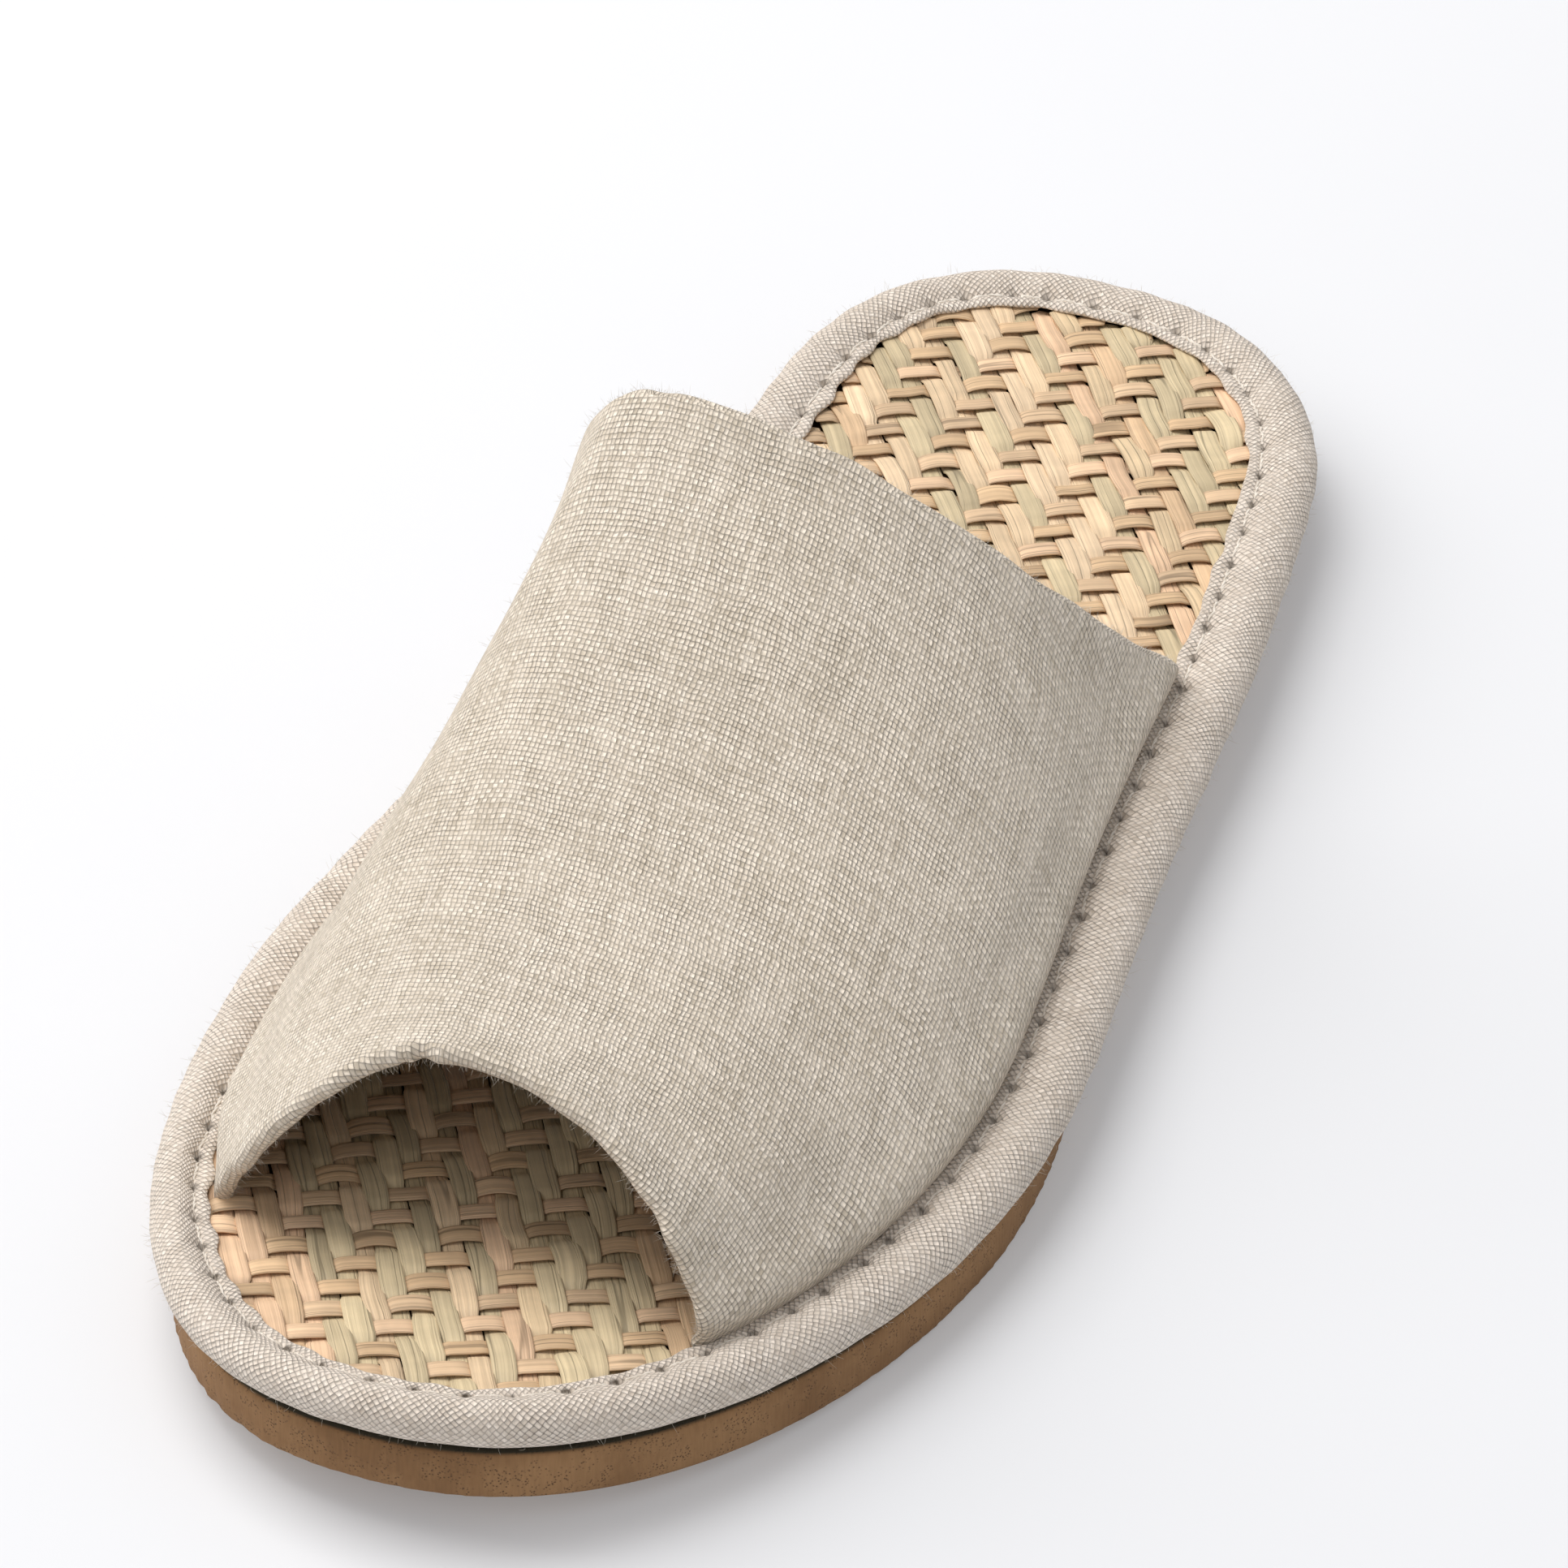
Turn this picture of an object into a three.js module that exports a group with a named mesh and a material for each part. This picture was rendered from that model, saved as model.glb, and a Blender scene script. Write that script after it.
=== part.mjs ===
// Rush grass slipper, the left shoe of a pair, as four solids: a foam outsole, a rush insole on its
// board, a padded linen binding round the edge and an open-toed linen upper.
//
// Millimetres. +Y points to the toe, +X to the big-toe side, +Z up. The origin is on the floor, under
// the middle of the shoe.

import * as THREE from 'three';

// Driving sizes in plan.
const shoeLength = 256;
const ballWidth = 104.6;
const tipShift = 3.8; // heel and toe tips lie this far to the big-toe side of the middle
const heelRound = 37.6; // length of the rounded heel end
const toeRound = 98.6; // length of the rounded toe end
const heelSquareness = 2.37; // exponents of the two rounded ends: 2 is an ellipse, more is squarer
const toeSquareness = 2.22;

// Driving sizes in height.
const soleThickness = 7;
const insoleThickness = 5.3;
const rollHeight = 7; // the binding's padded roll, over the outsole
const toeSpring = 6.2; // rise of the toe tip off the floor
const springStart = 68; // distance from the toe tip back to where the sole leaves the floor

// The outsole's side.
const soleInset = 2.3; // how far the outsole stands inside the binding
const soleBevel = 0.6;

// The binding.
const heelBindingWidth = 8.5;
const sideBindingWidth = 9.7;
const toeBindingWidth = 7.7;
const rollWidth = 5; // the padded part, the rest is the flat top leg
const lipThickness = 1; // the top leg at its inner edge
const clearance = 0.3; // between neighbouring pieces
const lipGap = 0.6; // between the binding's lip and the upper's wall, which leans out over it
const matGap = 0.9; // between that wall and the edge of the mat

// The upper. Heights are over the insole, places along the foot are from the shoe's middle.
const upperWall = 2.4;
const marginThickness = 1.2; // the upper's margin, turned out under the binding
const rimStep = 1.5; // how far the insole's rim is pressed down under that margin
const rimRamp = 6; // length of the slope at each end of that pressed stretch
const collarHeight = 48.2;
const toeOpeningHeight = 29.4;
const saddleDip = 8.7; // how far the instep dips under a straight line from collar to toe opening
const collarOuterSide = -51.4; // where the collar's edge meets the binding, little-toe side
const collarBigToeSide = -45.2;
const toeOuterSide = 98;
const toeBigToeSide = 94.2;
// How the two free edges wave along the foot as they cross the arch.
const collarCurve = { rise: 30.8, lean: 1.4, ripple: 4.3 };
const toeCurve = { rise: -3, lean: -0.5, ripple: 1.5 };
const edgeRound = 0.9; // roll of the upper's two free edges

// How finely the faces are cut.
const outlineSteps = 48; // along each side of the outline
const upperRows = 20; // from collar to toe opening
const archSteps = 30; // from one side of the upper to the other

// Half widths from the tip line, as shares of the ball width, at places along the foot from the
// middle, as shares of the length. The rounded ends then close the outline.
const outlineRows = [
  { along: -0.5, outer: 0.331, bigToe: 0.321 },
  { along: -0.25, outer: 0.432, bigToe: 0.337 },
  { along: -0.05, outer: 0.479, bigToe: 0.394 },
  { along: 0.18, outer: 0.54, bigToe: 0.468 },
  { along: 0.5, outer: 0.507, bigToe: 0.502 },
];

// The arch of the upper at its two free edges. crest is the crest's place from the middle, and a bulge
// how far the side swells, both as shares of the half width. Round exponents: 1 is an ellipse, less is
// squarer.
const archRows = {
  collar: { crest: 0.67, outerRound: 1.02, bigToeRound: 0.88, outerBulge: 0.05, bigToeBulge: 0.165 },
  toe: { crest: 0.14, outerRound: 1.05, bigToeRound: 1.05, outerBulge: 0.04, bigToeBulge: -0.04 },
};

const halfLength = shoeLength / 2;
const outer = -1;
const bigToe = 1;

const mix = (a, b, share) => a + (b - a) * share;

// Catmull-Rom through a table's rows, with straight ends.
function alongTable(rows, column, share) {
  let i = 0;
  while (i < rows.length - 2 && share > rows[i + 1].along) i++;
  const slope = (a, b) => (rows[b][column] - rows[a][column]) / (rows[b].along - rows[a].along);
  const low = rows[i];
  const high = rows[i + 1];
  const span = high.along - low.along;
  const slopeLow = (i > 0 ? slope(i - 1, i + 1) : slope(i, i + 1)) * span;
  const slopeHigh = (i + 2 < rows.length ? slope(i, i + 2) : slope(i, i + 1)) * span;
  const u = (share - low.along) / span;
  return (2 * u ** 3 - 3 * u ** 2 + 1) * low[column] + (u ** 3 - 2 * u ** 2 + u) * slopeLow
    + (3 * u ** 2 - 2 * u ** 3) * high[column] + (u ** 3 - u ** 2) * slopeHigh;
}

// A quarter of a superellipse: 1 where the end begins, 0 at the tip.
function endRound(distanceIn, length, squareness) {
  const reach = Math.min(Math.max(1 - distanceIn / length, 0), 1);
  return (1 - reach ** squareness) ** (1 / squareness);
}

// Plan outline of the whole shoe over the binding: x of one side at a place y along the foot.
function sideX(side, y) {
  const width = ballWidth * alongTable(outlineRows, side === outer ? 'outer' : 'bigToe', y / shoeLength);
  const heel = endRound(y + halfLength, heelRound, heelSquareness);
  const toe = endRound(halfLength - y, toeRound, toeSquareness);
  return tipShift + side * width * heel * toe;
}

// A point inset from the outline at a right angle. turn goes from 0 at the heel tip to 1 at the toe tip.
function insetPoint(side, turn, inset) {
  const at = (t) => {
    const y = -halfLength * Math.cos(Math.PI * t);
    return new THREE.Vector2(sideX(side, y), y);
  };
  const step = 1e-4;
  const low = Math.max(turn - step, 0);
  const high = Math.min(turn + step, 1);
  const tangent = at(high).sub(at(low));
  if (turn < step || turn > 1 - step) tangent.y = 0;
  const outwards = new THREE.Vector2(tangent.y, -tangent.x).normalize().multiplyScalar(side);
  return at(turn).addScaledVector(outwards, -inset);
}

// Rise of the sole off the floor, a parabola towards the toe tip.
const lift = (y) => toeSpring * Math.max((y - halfLength + springStart) / springStart, 0) ** 2;

const floorPoint = (point, z) => new THREE.Vector3(point.x, point.y, z + lift(point.y));

// The binding is widest along the sides and blends to its width at heel and toe.
function bindingWidth(turn) {
  const end = turn < 0.5 ? heelBindingWidth : toeBindingWidth;
  return mix(sideBindingWidth, end, Math.cos(Math.PI * turn) ** 2);
}

// The whole way round the outline: up the big-toe side from the heel tip, down the outer side.
const stations = [];
for (let i = 0; i < 2 * outlineSteps; i++) {
  const side = i <= outlineSteps ? bigToe : outer;
  const turn = (i <= outlineSteps ? i : 2 * outlineSteps - i) / outlineSteps;
  stations.push({ side, turn });
}

// Collects the corners and triangles of one closed solid.
class Shell {
  constructor() {
    this.corners = [];
    this.triangles = [];
  }

  corner(point) {
    this.corners.push(point.x, point.y, point.z);
    return this.corners.length / 3 - 1;
  }

  quad(a, b, c, d) {
    this.triangles.push(a, b, c, a, c, d);
  }

  // Joins two closed rings of equal length.
  band(lower, upper) {
    for (let i = 0; i < lower.length; i++) {
      const next = (i + 1) % lower.length;
      this.quad(lower[i], lower[next], upper[next], upper[i]);
    }
  }

  // Closes a ring of the outline with crossbars from side to side.
  cap(ring, facingUp) {
    const count = ring.length;
    for (let i = 0; i < count / 2; i++) {
      const right = [ring[i], ring[i + 1]];
      const left = [ring[(count - i) % count], ring[count - i - 1]];
      const corners = [right[0], right[1], left[1], left[0]];
      const distinct = corners.filter((corner, k) => corner !== corners[(k + 1) % 4]);
      if (!facingUp) distinct.reverse();
      for (let k = 1; k + 1 < distinct.length; k++) {
        this.triangles.push(distinct[0], distinct[k], distinct[k + 1]);
      }
    }
  }

  mesh(name, material) {
    const geometry = new THREE.BufferGeometry();
    geometry.setAttribute('position', new THREE.Float32BufferAttribute(this.corners, 3));
    geometry.setIndex(this.triangles);
    geometry.computeVertexNormals();
    const mesh = new THREE.Mesh(geometry, material);
    mesh.name = name;
    return mesh;
  }
}

// A plate built of rings round the outline. Each has an inset by side and turn, and a height by side and
// place along the foot.
function plate(rings) {
  const shell = new Shell();
  const placed = rings.map(({ inset, height }) => stations.map(({ side, turn }) => {
    const point = insetPoint(side, turn, inset(side, turn));
    return shell.corner(floorPoint(point, height(side, point.y)));
  }));
  for (let k = 0; k + 1 < placed.length; k++) shell.band(placed[k], placed[k + 1]);
  shell.cap(placed[0], false);
  shell.cap(placed[placed.length - 1], true);
  return shell;
}

const always = (value) => () => value;

function outsole() {
  return plate([
    { inset: always(soleInset + soleBevel), height: always(0) },
    { inset: always(soleInset), height: always(soleBevel) },
    { inset: always(soleInset), height: always(soleThickness - soleBevel) },
    { inset: always(soleInset + soleBevel), height: always(soleThickness) },
  ]);
}

const boardBottom = soleThickness + clearance;
const matTop = boardBottom + insoleThickness;

// How far the insole's rim is pressed down: fully along the upper's margins, not at heel and toe.
function rimPress(side, y) {
  const back = side === outer ? collarOuterSide : collarBigToeSide;
  const front = side === outer ? toeOuterSide : toeBigToeSide;
  const share = Math.min(y - back, front - y) / rimRamp + 1.5;
  return rimStep * Math.min(1, Math.max(share, 0));
}

function insole() {
  const edge = rollWidth + clearance;
  const matEdge = (side, turn) => bindingWidth(turn) + lipGap + upperWall + matGap;
  const rimTop = (side, y) => matTop - rimPress(side, y);
  return plate([
    { inset: always(edge), height: always(boardBottom) },
    { inset: always(edge), height: rimTop },
    { inset: matEdge, height: rimTop },
    { inset: (side, turn) => matEdge(side, turn) + clearance, height: always(matTop) },
  ]);
}

function binding() {
  const shell = new Shell();
  const base = boardBottom;
  const middle = base + rollHeight / 2;
  const top = base + rollHeight;
  const legUnder = matTop + clearance;
  const lipTop = legUnder + lipThickness;
  const half = rollHeight / 2;
  // Across the binding from its inner foot, round the roll to the lip and back under the top leg.
  const roll = [];
  const rollSteps = 6;
  for (let k = 0; k <= rollSteps; k++) {
    const angle = Math.PI * (k / rollSteps - 0.5);
    roll.push({ inset: half * (1 - Math.cos(angle)), height: middle + half * Math.sin(angle) });
  }
  const rings = stations.map(({ side, turn }) => {
    const width = bindingWidth(turn);
    const section = [
      { inset: rollWidth, height: base },
      ...roll,
      { inset: (half + width) / 2, height: mix(top, lipTop, 0.3) },
      { inset: width - clearance, height: lipTop },
      { inset: width, height: lipTop - lipThickness / 2 },
      { inset: width - clearance, height: legUnder },
      { inset: rollWidth, height: legUnder },
    ];
    return section.map(({ inset, height }) => {
      const point = insetPoint(side, turn, inset);
      return shell.corner(floorPoint(point, height));
    });
  });
  const count = rings[0].length;
  for (let k = 0; k < count; k++) {
    const here = rings.map((ring) => ring[k]);
    const next = rings.map((ring) => ring[(k + 1) % count]);
    shell.band(here, next);
  }
  return shell;
}

// x of the upper's base line on one side, at a place along the foot.
function baseX(side, y, inset) {
  const step = 0.5;
  const slope = (sideX(side, y + step) - sideX(side, y - step)) / (2 * step);
  return sideX(side, y) - side * inset * Math.hypot(1, slope);
}

const turnAt = (y) => Math.acos(-y / halfLength) / Math.PI;

// Place along the foot of an edge of the upper: straight from side to side, plus waves over the arch.
function edgeY(outerY, bigToeY, curve, around) {
  const angle = Math.PI * around;
  return mix(outerY, bigToeY, around) + curve.rise * Math.sin(angle)
    + curve.lean * Math.sin(2 * angle) + curve.ripple * Math.sin(3 * angle);
}

// Outer surface of the upper. along is 0 at the collar and 1 at the toe opening, around is 0 at the
// little-toe side's base and 1 at the big-toe side's. Each half of the arch is a quarter superellipse.
function upperPoint(along, around) {
  const angle = Math.PI * around;
  const y = mix(
    edgeY(collarOuterSide, collarBigToeSide, collarCurve, around),
    edgeY(toeOuterSide, toeBigToeSide, toeCurve, around),
    along,
  );
  const inset = bindingWidth(turnAt(y)) + lipGap;
  const low = baseX(outer, y, inset);
  const high = baseX(bigToe, y, inset);
  const middle = (low + high) / 2;
  const halfWidth = (high - low) / 2;
  const blend = (name) => mix(archRows.collar[name], archRows.toe[name], along);
  const height = mix(collarHeight, toeOpeningHeight, along) - saddleDip * 4 * along * (1 - along);
  const crestX = middle + halfWidth * blend('crest');
  const outerHalf = around <= 0.5;
  const round = blend(outerHalf ? 'outerRound' : 'bigToeRound');
  const reach = Math.abs(Math.cos(angle)) ** round;
  const rise = Math.sin(angle) ** round;
  const bulge = halfWidth * blend(outerHalf ? 'outerBulge' : 'bigToeBulge') * Math.abs(Math.sin(2 * angle));
  const x = outerHalf
    ? crestX - (crestX - low) * reach - bulge
    : crestX + (high - crestX) * reach + bulge;
  return new THREE.Vector3(x, y, matTop + height * rise + lift(y));
}

// Unit normal of that surface, pointing out of the shoe.
function upperNormal(along, around) {
  const step = 1e-3;
  const a = Math.min(Math.max(along, step), 1 - step);
  const u = Math.min(Math.max(around, step), 1 - step);
  const across = upperPoint(a, u + step).sub(upperPoint(a, u - step));
  const lengthwise = upperPoint(a + step, u).sub(upperPoint(a - step, u));
  return across.cross(lengthwise).normalize();
}

function upper() {
  const shell = new Shell();
  const upperLength = toeOuterSide - collarOuterSide;
  const marginTop = matTop;
  const marginBottom = matTop - marginThickness;
  const rows = [0, edgeRound / upperLength];
  for (let i = 1; i < upperRows; i++) rows.push(i / upperRows);
  rows.push(1 - edgeRound / upperLength, 1);

  const rings = rows.map((along, row) => {
    const thin = row === 0 || row === rows.length - 1 ? 0.3 * upperWall : 0;
    // The wall over the arch, then the margin turned out under the binding at each end of it.
    const wall = (depth) => {
      const line = [];
      for (let k = 0; k <= archSteps; k++) {
        const around = k / archSteps;
        line.push(upperPoint(along, around).addScaledVector(upperNormal(along, around), -depth));
      }
      return line;
    };
    const face = wall(thin);
    const lining = wall(upperWall - thin);
    const margin = (side, height, inset) => {
      const y = upperPoint(along, side === outer ? 0 : 1).y;
      return new THREE.Vector3(baseX(side, y, inset), y, height + lift(y));
    };
    const inwards = (y) => bindingWidth(turnAt(y)) + lipGap;
    const marginEdge = rollWidth + 2 * clearance;
    for (const [side, end] of [[outer, 0], [bigToe, archSteps]]) {
      face[end] = margin(side, marginTop, inwards(face[end].y) + thin);
      lining[end] = margin(side, marginBottom, inwards(face[end].y) + upperWall - thin);
    }
    const ring = [
      margin(outer, marginTop - thin / 2, marginEdge),
      ...face,
      margin(bigToe, marginTop - thin / 2, marginEdge),
      margin(bigToe, marginBottom + thin / 2, marginEdge),
      ...lining.reverse(),
      margin(outer, marginBottom + thin / 2, marginEdge),
    ];
    return ring.map((point) => shell.corner(point));
  });

  const count = rings[0].length;
  for (let r = 0; r + 1 < rings.length; r++) shell.band(rings[r], rings[r + 1]);
  // The two free edges are strips between the outer face and the lining.
  for (const [ring, turned] of [[rings[0], true], [rings[rings.length - 1], false]]) {
    for (let k = 0; k + 1 < count / 2; k++) {
      const strip = [ring[k], ring[k + 1], ring[count - k - 2], ring[count - k - 1]];
      if (turned) strip.reverse();
      shell.quad(...strip);
    }
  }
  return shell;
}

const finish = (color, roughness) => new THREE.MeshStandardMaterial({ color, roughness, metalness: 0 });

const slipper = new THREE.Group();
slipper.add(
  outsole().mesh('outsole', finish('#8a6a4c', 0.85)),
  insole().mesh('insole', finish('#d9bf9c', 0.6)),
  binding().mesh('binding', finish('#cfc5b8', 0.9)),
  upper().mesh('upper', finish('#d6cbbd', 0.9)),
);

export default slipper;
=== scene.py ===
# %% [markdown]
# # A rush grass slipper
#
# This is the left slipper of a pair: a brown foam outsole, a mat of woven rush, a padded linen edging
# sewn round it, and one band of linen over the instep that is open at both ends. The CAD model gives
# every size and place. This script keeps them and adds what makes the slipper look real: the strips of
# the mat, the stitched and puckered edging, the soft cloth, loose lint, and the materials.
#
# The shoe points to +Y, its big-toe side is +X, and the floor is at z = 0. Shapes are worked out in
# millimetres, as in the CAD source, and go into Blender in metres.

import bpy
import numpy as np
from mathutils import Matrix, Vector


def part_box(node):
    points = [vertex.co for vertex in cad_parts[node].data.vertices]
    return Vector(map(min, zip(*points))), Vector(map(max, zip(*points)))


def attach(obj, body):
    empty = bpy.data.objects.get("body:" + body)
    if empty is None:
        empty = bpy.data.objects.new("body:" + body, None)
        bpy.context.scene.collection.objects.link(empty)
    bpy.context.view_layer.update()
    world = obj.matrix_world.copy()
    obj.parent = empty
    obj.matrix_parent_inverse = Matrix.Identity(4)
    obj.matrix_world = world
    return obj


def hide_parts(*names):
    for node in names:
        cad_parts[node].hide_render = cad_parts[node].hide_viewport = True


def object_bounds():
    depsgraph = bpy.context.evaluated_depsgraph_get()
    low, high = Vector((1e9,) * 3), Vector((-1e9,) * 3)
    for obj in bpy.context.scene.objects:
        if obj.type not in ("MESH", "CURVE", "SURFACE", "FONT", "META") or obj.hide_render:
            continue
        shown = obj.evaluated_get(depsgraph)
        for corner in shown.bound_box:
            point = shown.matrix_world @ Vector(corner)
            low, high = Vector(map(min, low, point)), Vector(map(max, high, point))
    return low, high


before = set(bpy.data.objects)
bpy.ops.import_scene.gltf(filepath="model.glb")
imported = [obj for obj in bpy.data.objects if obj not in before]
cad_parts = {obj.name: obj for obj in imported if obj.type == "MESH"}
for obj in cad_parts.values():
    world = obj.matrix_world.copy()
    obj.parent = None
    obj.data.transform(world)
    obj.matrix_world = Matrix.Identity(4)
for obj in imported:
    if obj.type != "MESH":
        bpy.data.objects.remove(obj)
cad_low, cad_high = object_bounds()
MM = 0.001
print("CAD box in mm", [round(v / MM, 1) for v in (*cad_low, *cad_high)])

# %% [markdown]
# ## The named sizes
#
# The new pieces follow the same few sizes as the CAD model. The ones that its boxes give are read from
# the frame, and the others are repeated here. All are in millimetres, and the outline's columns are shares
# of the length and of the width at the ball. Tracing the outline as a long list of points would work too,
# but then no size could be changed alone.

# %% Sizes shared with the CAD model
SHOE_LENGTH = (cad_high.y - cad_low.y) / MM
HALF_LENGTH = SHOE_LENGTH / 2
BALL_WIDTH = 104.6
TIP_SHIFT = 3.8
HEEL_ROUND, TOE_ROUND = 37.6, 98.6
HEEL_SQUARENESS, TOE_SQUARENESS = 2.37, 2.22
SOLE_THICKNESS = 7.0
BOARD_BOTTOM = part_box("insole")[0].z / MM
MAT_TOP = BOARD_BOTTOM + 5.3
ROLL_HEIGHT, ROLL_WIDTH = 7.0, 5.0
TOE_SPRING, SPRING_START = 6.2, 68.0
SOLE_INSET = 2.3
HEEL_BINDING, SIDE_BINDING, TOE_BINDING = 8.5, 9.7, 7.7
LIP_GAP = 0.6
OUTER, BIG_TOE = -1.0, 1.0

OUTLINE_ROWS = [
    {"along": -0.5, "outer": 0.331, "big_toe": 0.321},
    {"along": -0.25, "outer": 0.432, "big_toe": 0.337},
    {"along": -0.05, "outer": 0.479, "big_toe": 0.394},
    {"along": 0.18, "outer": 0.54, "big_toe": 0.468},
    {"along": 0.5, "outer": 0.507, "big_toe": 0.502},
]

# %% [markdown]
# ## The outline, and a line that runs round it
#
# Every piece below follows the outline of the shoe. A half width comes from the table, smoothed, and the
# two ends are closed by quarter superellipses. Stitches and threads need true lengths, so the outline is
# also measured once round, and after that a place on the rim is given by its distance along it, starting
# at the heel tip and going up the big-toe side.

# %% The outline in plan
def along_table(rows, column, share):
    """A cubic between neighbouring rows. Its slope at a row is that between the rows on either side."""
    along = np.array([row["along"] for row in rows])
    value = np.array([row[column] for row in rows])
    slope = np.gradient(value, along)
    slope[1:-1] = (value[2:] - value[:-2]) / (along[2:] - along[:-2])
    i = np.clip(np.searchsorted(along, share) - 1, 0, len(rows) - 2)
    span = along[i + 1] - along[i]
    u = (share - along[i]) / span
    return ((2 * u**3 - 3 * u**2 + 1) * value[i] + (u**3 - 2 * u**2 + u) * slope[i] * span
            + (3 * u**2 - 2 * u**3) * value[i + 1] + (u**3 - u**2) * slope[i + 1] * span)


def end_round(distance_in, length, squareness):
    """A quarter superellipse: (1 - reach^n)^(1/n), where reach is 0 inside and 1 at the tip."""
    reach = np.clip(1 - distance_in / length, 0, 1)
    return (1 - reach**squareness) ** (1 / squareness)


def side_x(side, y):
    """x of one side of the outline: the tip line, plus or minus half width times both end rounds."""
    y = np.clip(y, -HALF_LENGTH, HALF_LENGTH)
    outer = along_table(OUTLINE_ROWS, "outer", y / SHOE_LENGTH)
    big_toe = along_table(OUTLINE_ROWS, "big_toe", y / SHOE_LENGTH)
    width = BALL_WIDTH * np.where(side < 0, outer, big_toe)
    heel = end_round(y + HALF_LENGTH, HEEL_ROUND, HEEL_SQUARENESS)
    toe = end_round(HALF_LENGTH - y, TOE_ROUND, TOE_SQUARENESS)
    return TIP_SHIFT + side * width * heel * toe


def lift(y):
    """Toe spring: a parabola that starts SPRING_START behind the toe tip."""
    rise = np.maximum((y - HALF_LENGTH + SPRING_START) / SPRING_START, 0)
    return TOE_SPRING * rise**2


# %% The rim by true length
round_turns = np.linspace(0, 1, 6001)
round_side = np.where(round_turns <= 0.5, BIG_TOE, OUTER)
round_y = -HALF_LENGTH * np.cos(2 * np.pi * round_turns)
round_xy = np.stack([side_x(round_side, round_y), round_y], -1)
round_length = np.concatenate([[0], np.cumsum(np.linalg.norm(np.diff(round_xy, axis=0), axis=1))])
RIM_LENGTH = round_length[-1]
TOE_TIP_AT = np.interp(0.5, round_turns, round_length)
print("once round the outline:", round(RIM_LENGTH, 1), "mm")


def outline_at(distance):
    """Point of the outline at a distance round it."""
    at = np.mod(distance, RIM_LENGTH)
    return np.stack([np.interp(at, round_length, round_xy[:, k]) for k in (0, 1)], -1)


def rim_point(distance, inset):
    """Point inset from the outline at a right angle: outline minus inset times the outward normal."""
    tangent = outline_at(distance + 0.6) - outline_at(distance - 0.6)
    tangent /= np.linalg.norm(tangent, axis=-1, keepdims=True)
    outwards = np.stack([tangent[..., 1], -tangent[..., 0]], -1)
    return outline_at(distance) - outwards * np.asarray(inset)[..., None]


def binding_width(y):
    """Width of the edging: widest along the sides, blended to the ends by (y / half length) squared."""
    end = np.where(y < 0, HEEL_BINDING, TOE_BINDING)
    share = np.clip(y / HALF_LENGTH, -1, 1) ** 2
    return SIDE_BINDING + (end - SIDE_BINDING) * share


def corner(y):
    """Where the big-toe end of the band is sewn in, the edging is drawn out by up to 1.5 mm: a Gaussian."""
    return 1.5 * np.exp(-(((y - 88.0) / 20.0) ** 2))


def edging_width(distance):
    """Width of the edging at a distance round the rim, less the drawn-out corner."""
    y = outline_at(distance)[..., 1]
    return binding_width(y) - corner(y) * (np.mod(distance, RIM_LENGTH) < TOE_TIP_AT)


# %% [markdown]
# ## Meshes from grids
#
# A surface is a grid of points, worked out as one array. One helper joins the grid into quads, gives
# each corner its place on the cloth as a UV map, and stores numbers per point as attributes that the
# materials read.

# %% Grid helpers
def grid_faces(rows, columns, close_rows=False, close_columns=False):
    """Quads between neighbours of a grid, wound so that rows x columns gives the outward side."""
    r = np.arange(rows if close_rows else rows - 1)[:, None]
    c = np.arange(columns if close_columns else columns - 1)[None, :]
    next_r, next_c = (r + 1) % rows, (c + 1) % columns
    corners = [r * columns + c, next_r * columns + c, next_r * columns + next_c, r * columns + next_c]
    faces = np.stack([np.broadcast_to(k, (r.size, c.size)) for k in corners], -1).reshape(-1, 4)
    steps = [(r, c), (r + 1, c), (r + 1, c + 1), (r, c + 1)]
    cells = [np.stack(np.broadcast_arrays(i, j), -1) for i, j in steps]
    return faces, np.stack(cells, 2).reshape(-1, 4, 2)


def add_mesh(name, points, faces, material, uv=None, slot=None, **attributes):
    """A smooth mesh from points in mm and quads, with a UV per face corner and attributes per point."""
    mesh = bpy.data.meshes.new(name)
    mesh.vertices.add(len(points))
    mesh.vertices.foreach_set("co", (points * MM).astype(np.float32).ravel())
    mesh.loops.add(faces.size)
    mesh.loops.foreach_set("vertex_index", faces.astype(np.int32).ravel())
    mesh.polygons.add(len(faces))
    mesh.polygons.foreach_set("loop_start", np.arange(0, faces.size, faces.shape[1], dtype=np.int32))
    if uv is not None:
        layer = mesh.uv_layers.new(name="cloth")
        layer.data.foreach_set("uv", uv.astype(np.float32).ravel())
    for key, values in attributes.items():
        stored = mesh.attributes.new(key, "FLOAT", "POINT")
        stored.data.foreach_set("value", values.astype(np.float32).ravel())
    mesh.update(calc_edges=True)
    mesh.validate()
    mesh.polygons.foreach_set("use_smooth", np.ones(len(mesh.polygons), bool))
    mesh.materials.append(material)
    piece = bpy.data.objects.new(name, mesh)
    bpy.context.scene.collection.objects.link(piece)
    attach(piece, "root")
    print(name, len(points), "points,", 2 * len(faces), "triangles")
    return piece


# %% [markdown]
# ## Shared effects for the materials
#
# Cloth, rush and foam all need some mottling and some grain. Each effect is a node group: built once,
# given named inputs, and placed in each material with its own values. The groups only put out numbers
# between 0 and 1, and the shader stays in the material. A few small functions write the nodes, so that a
# material reads as a formula.

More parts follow.
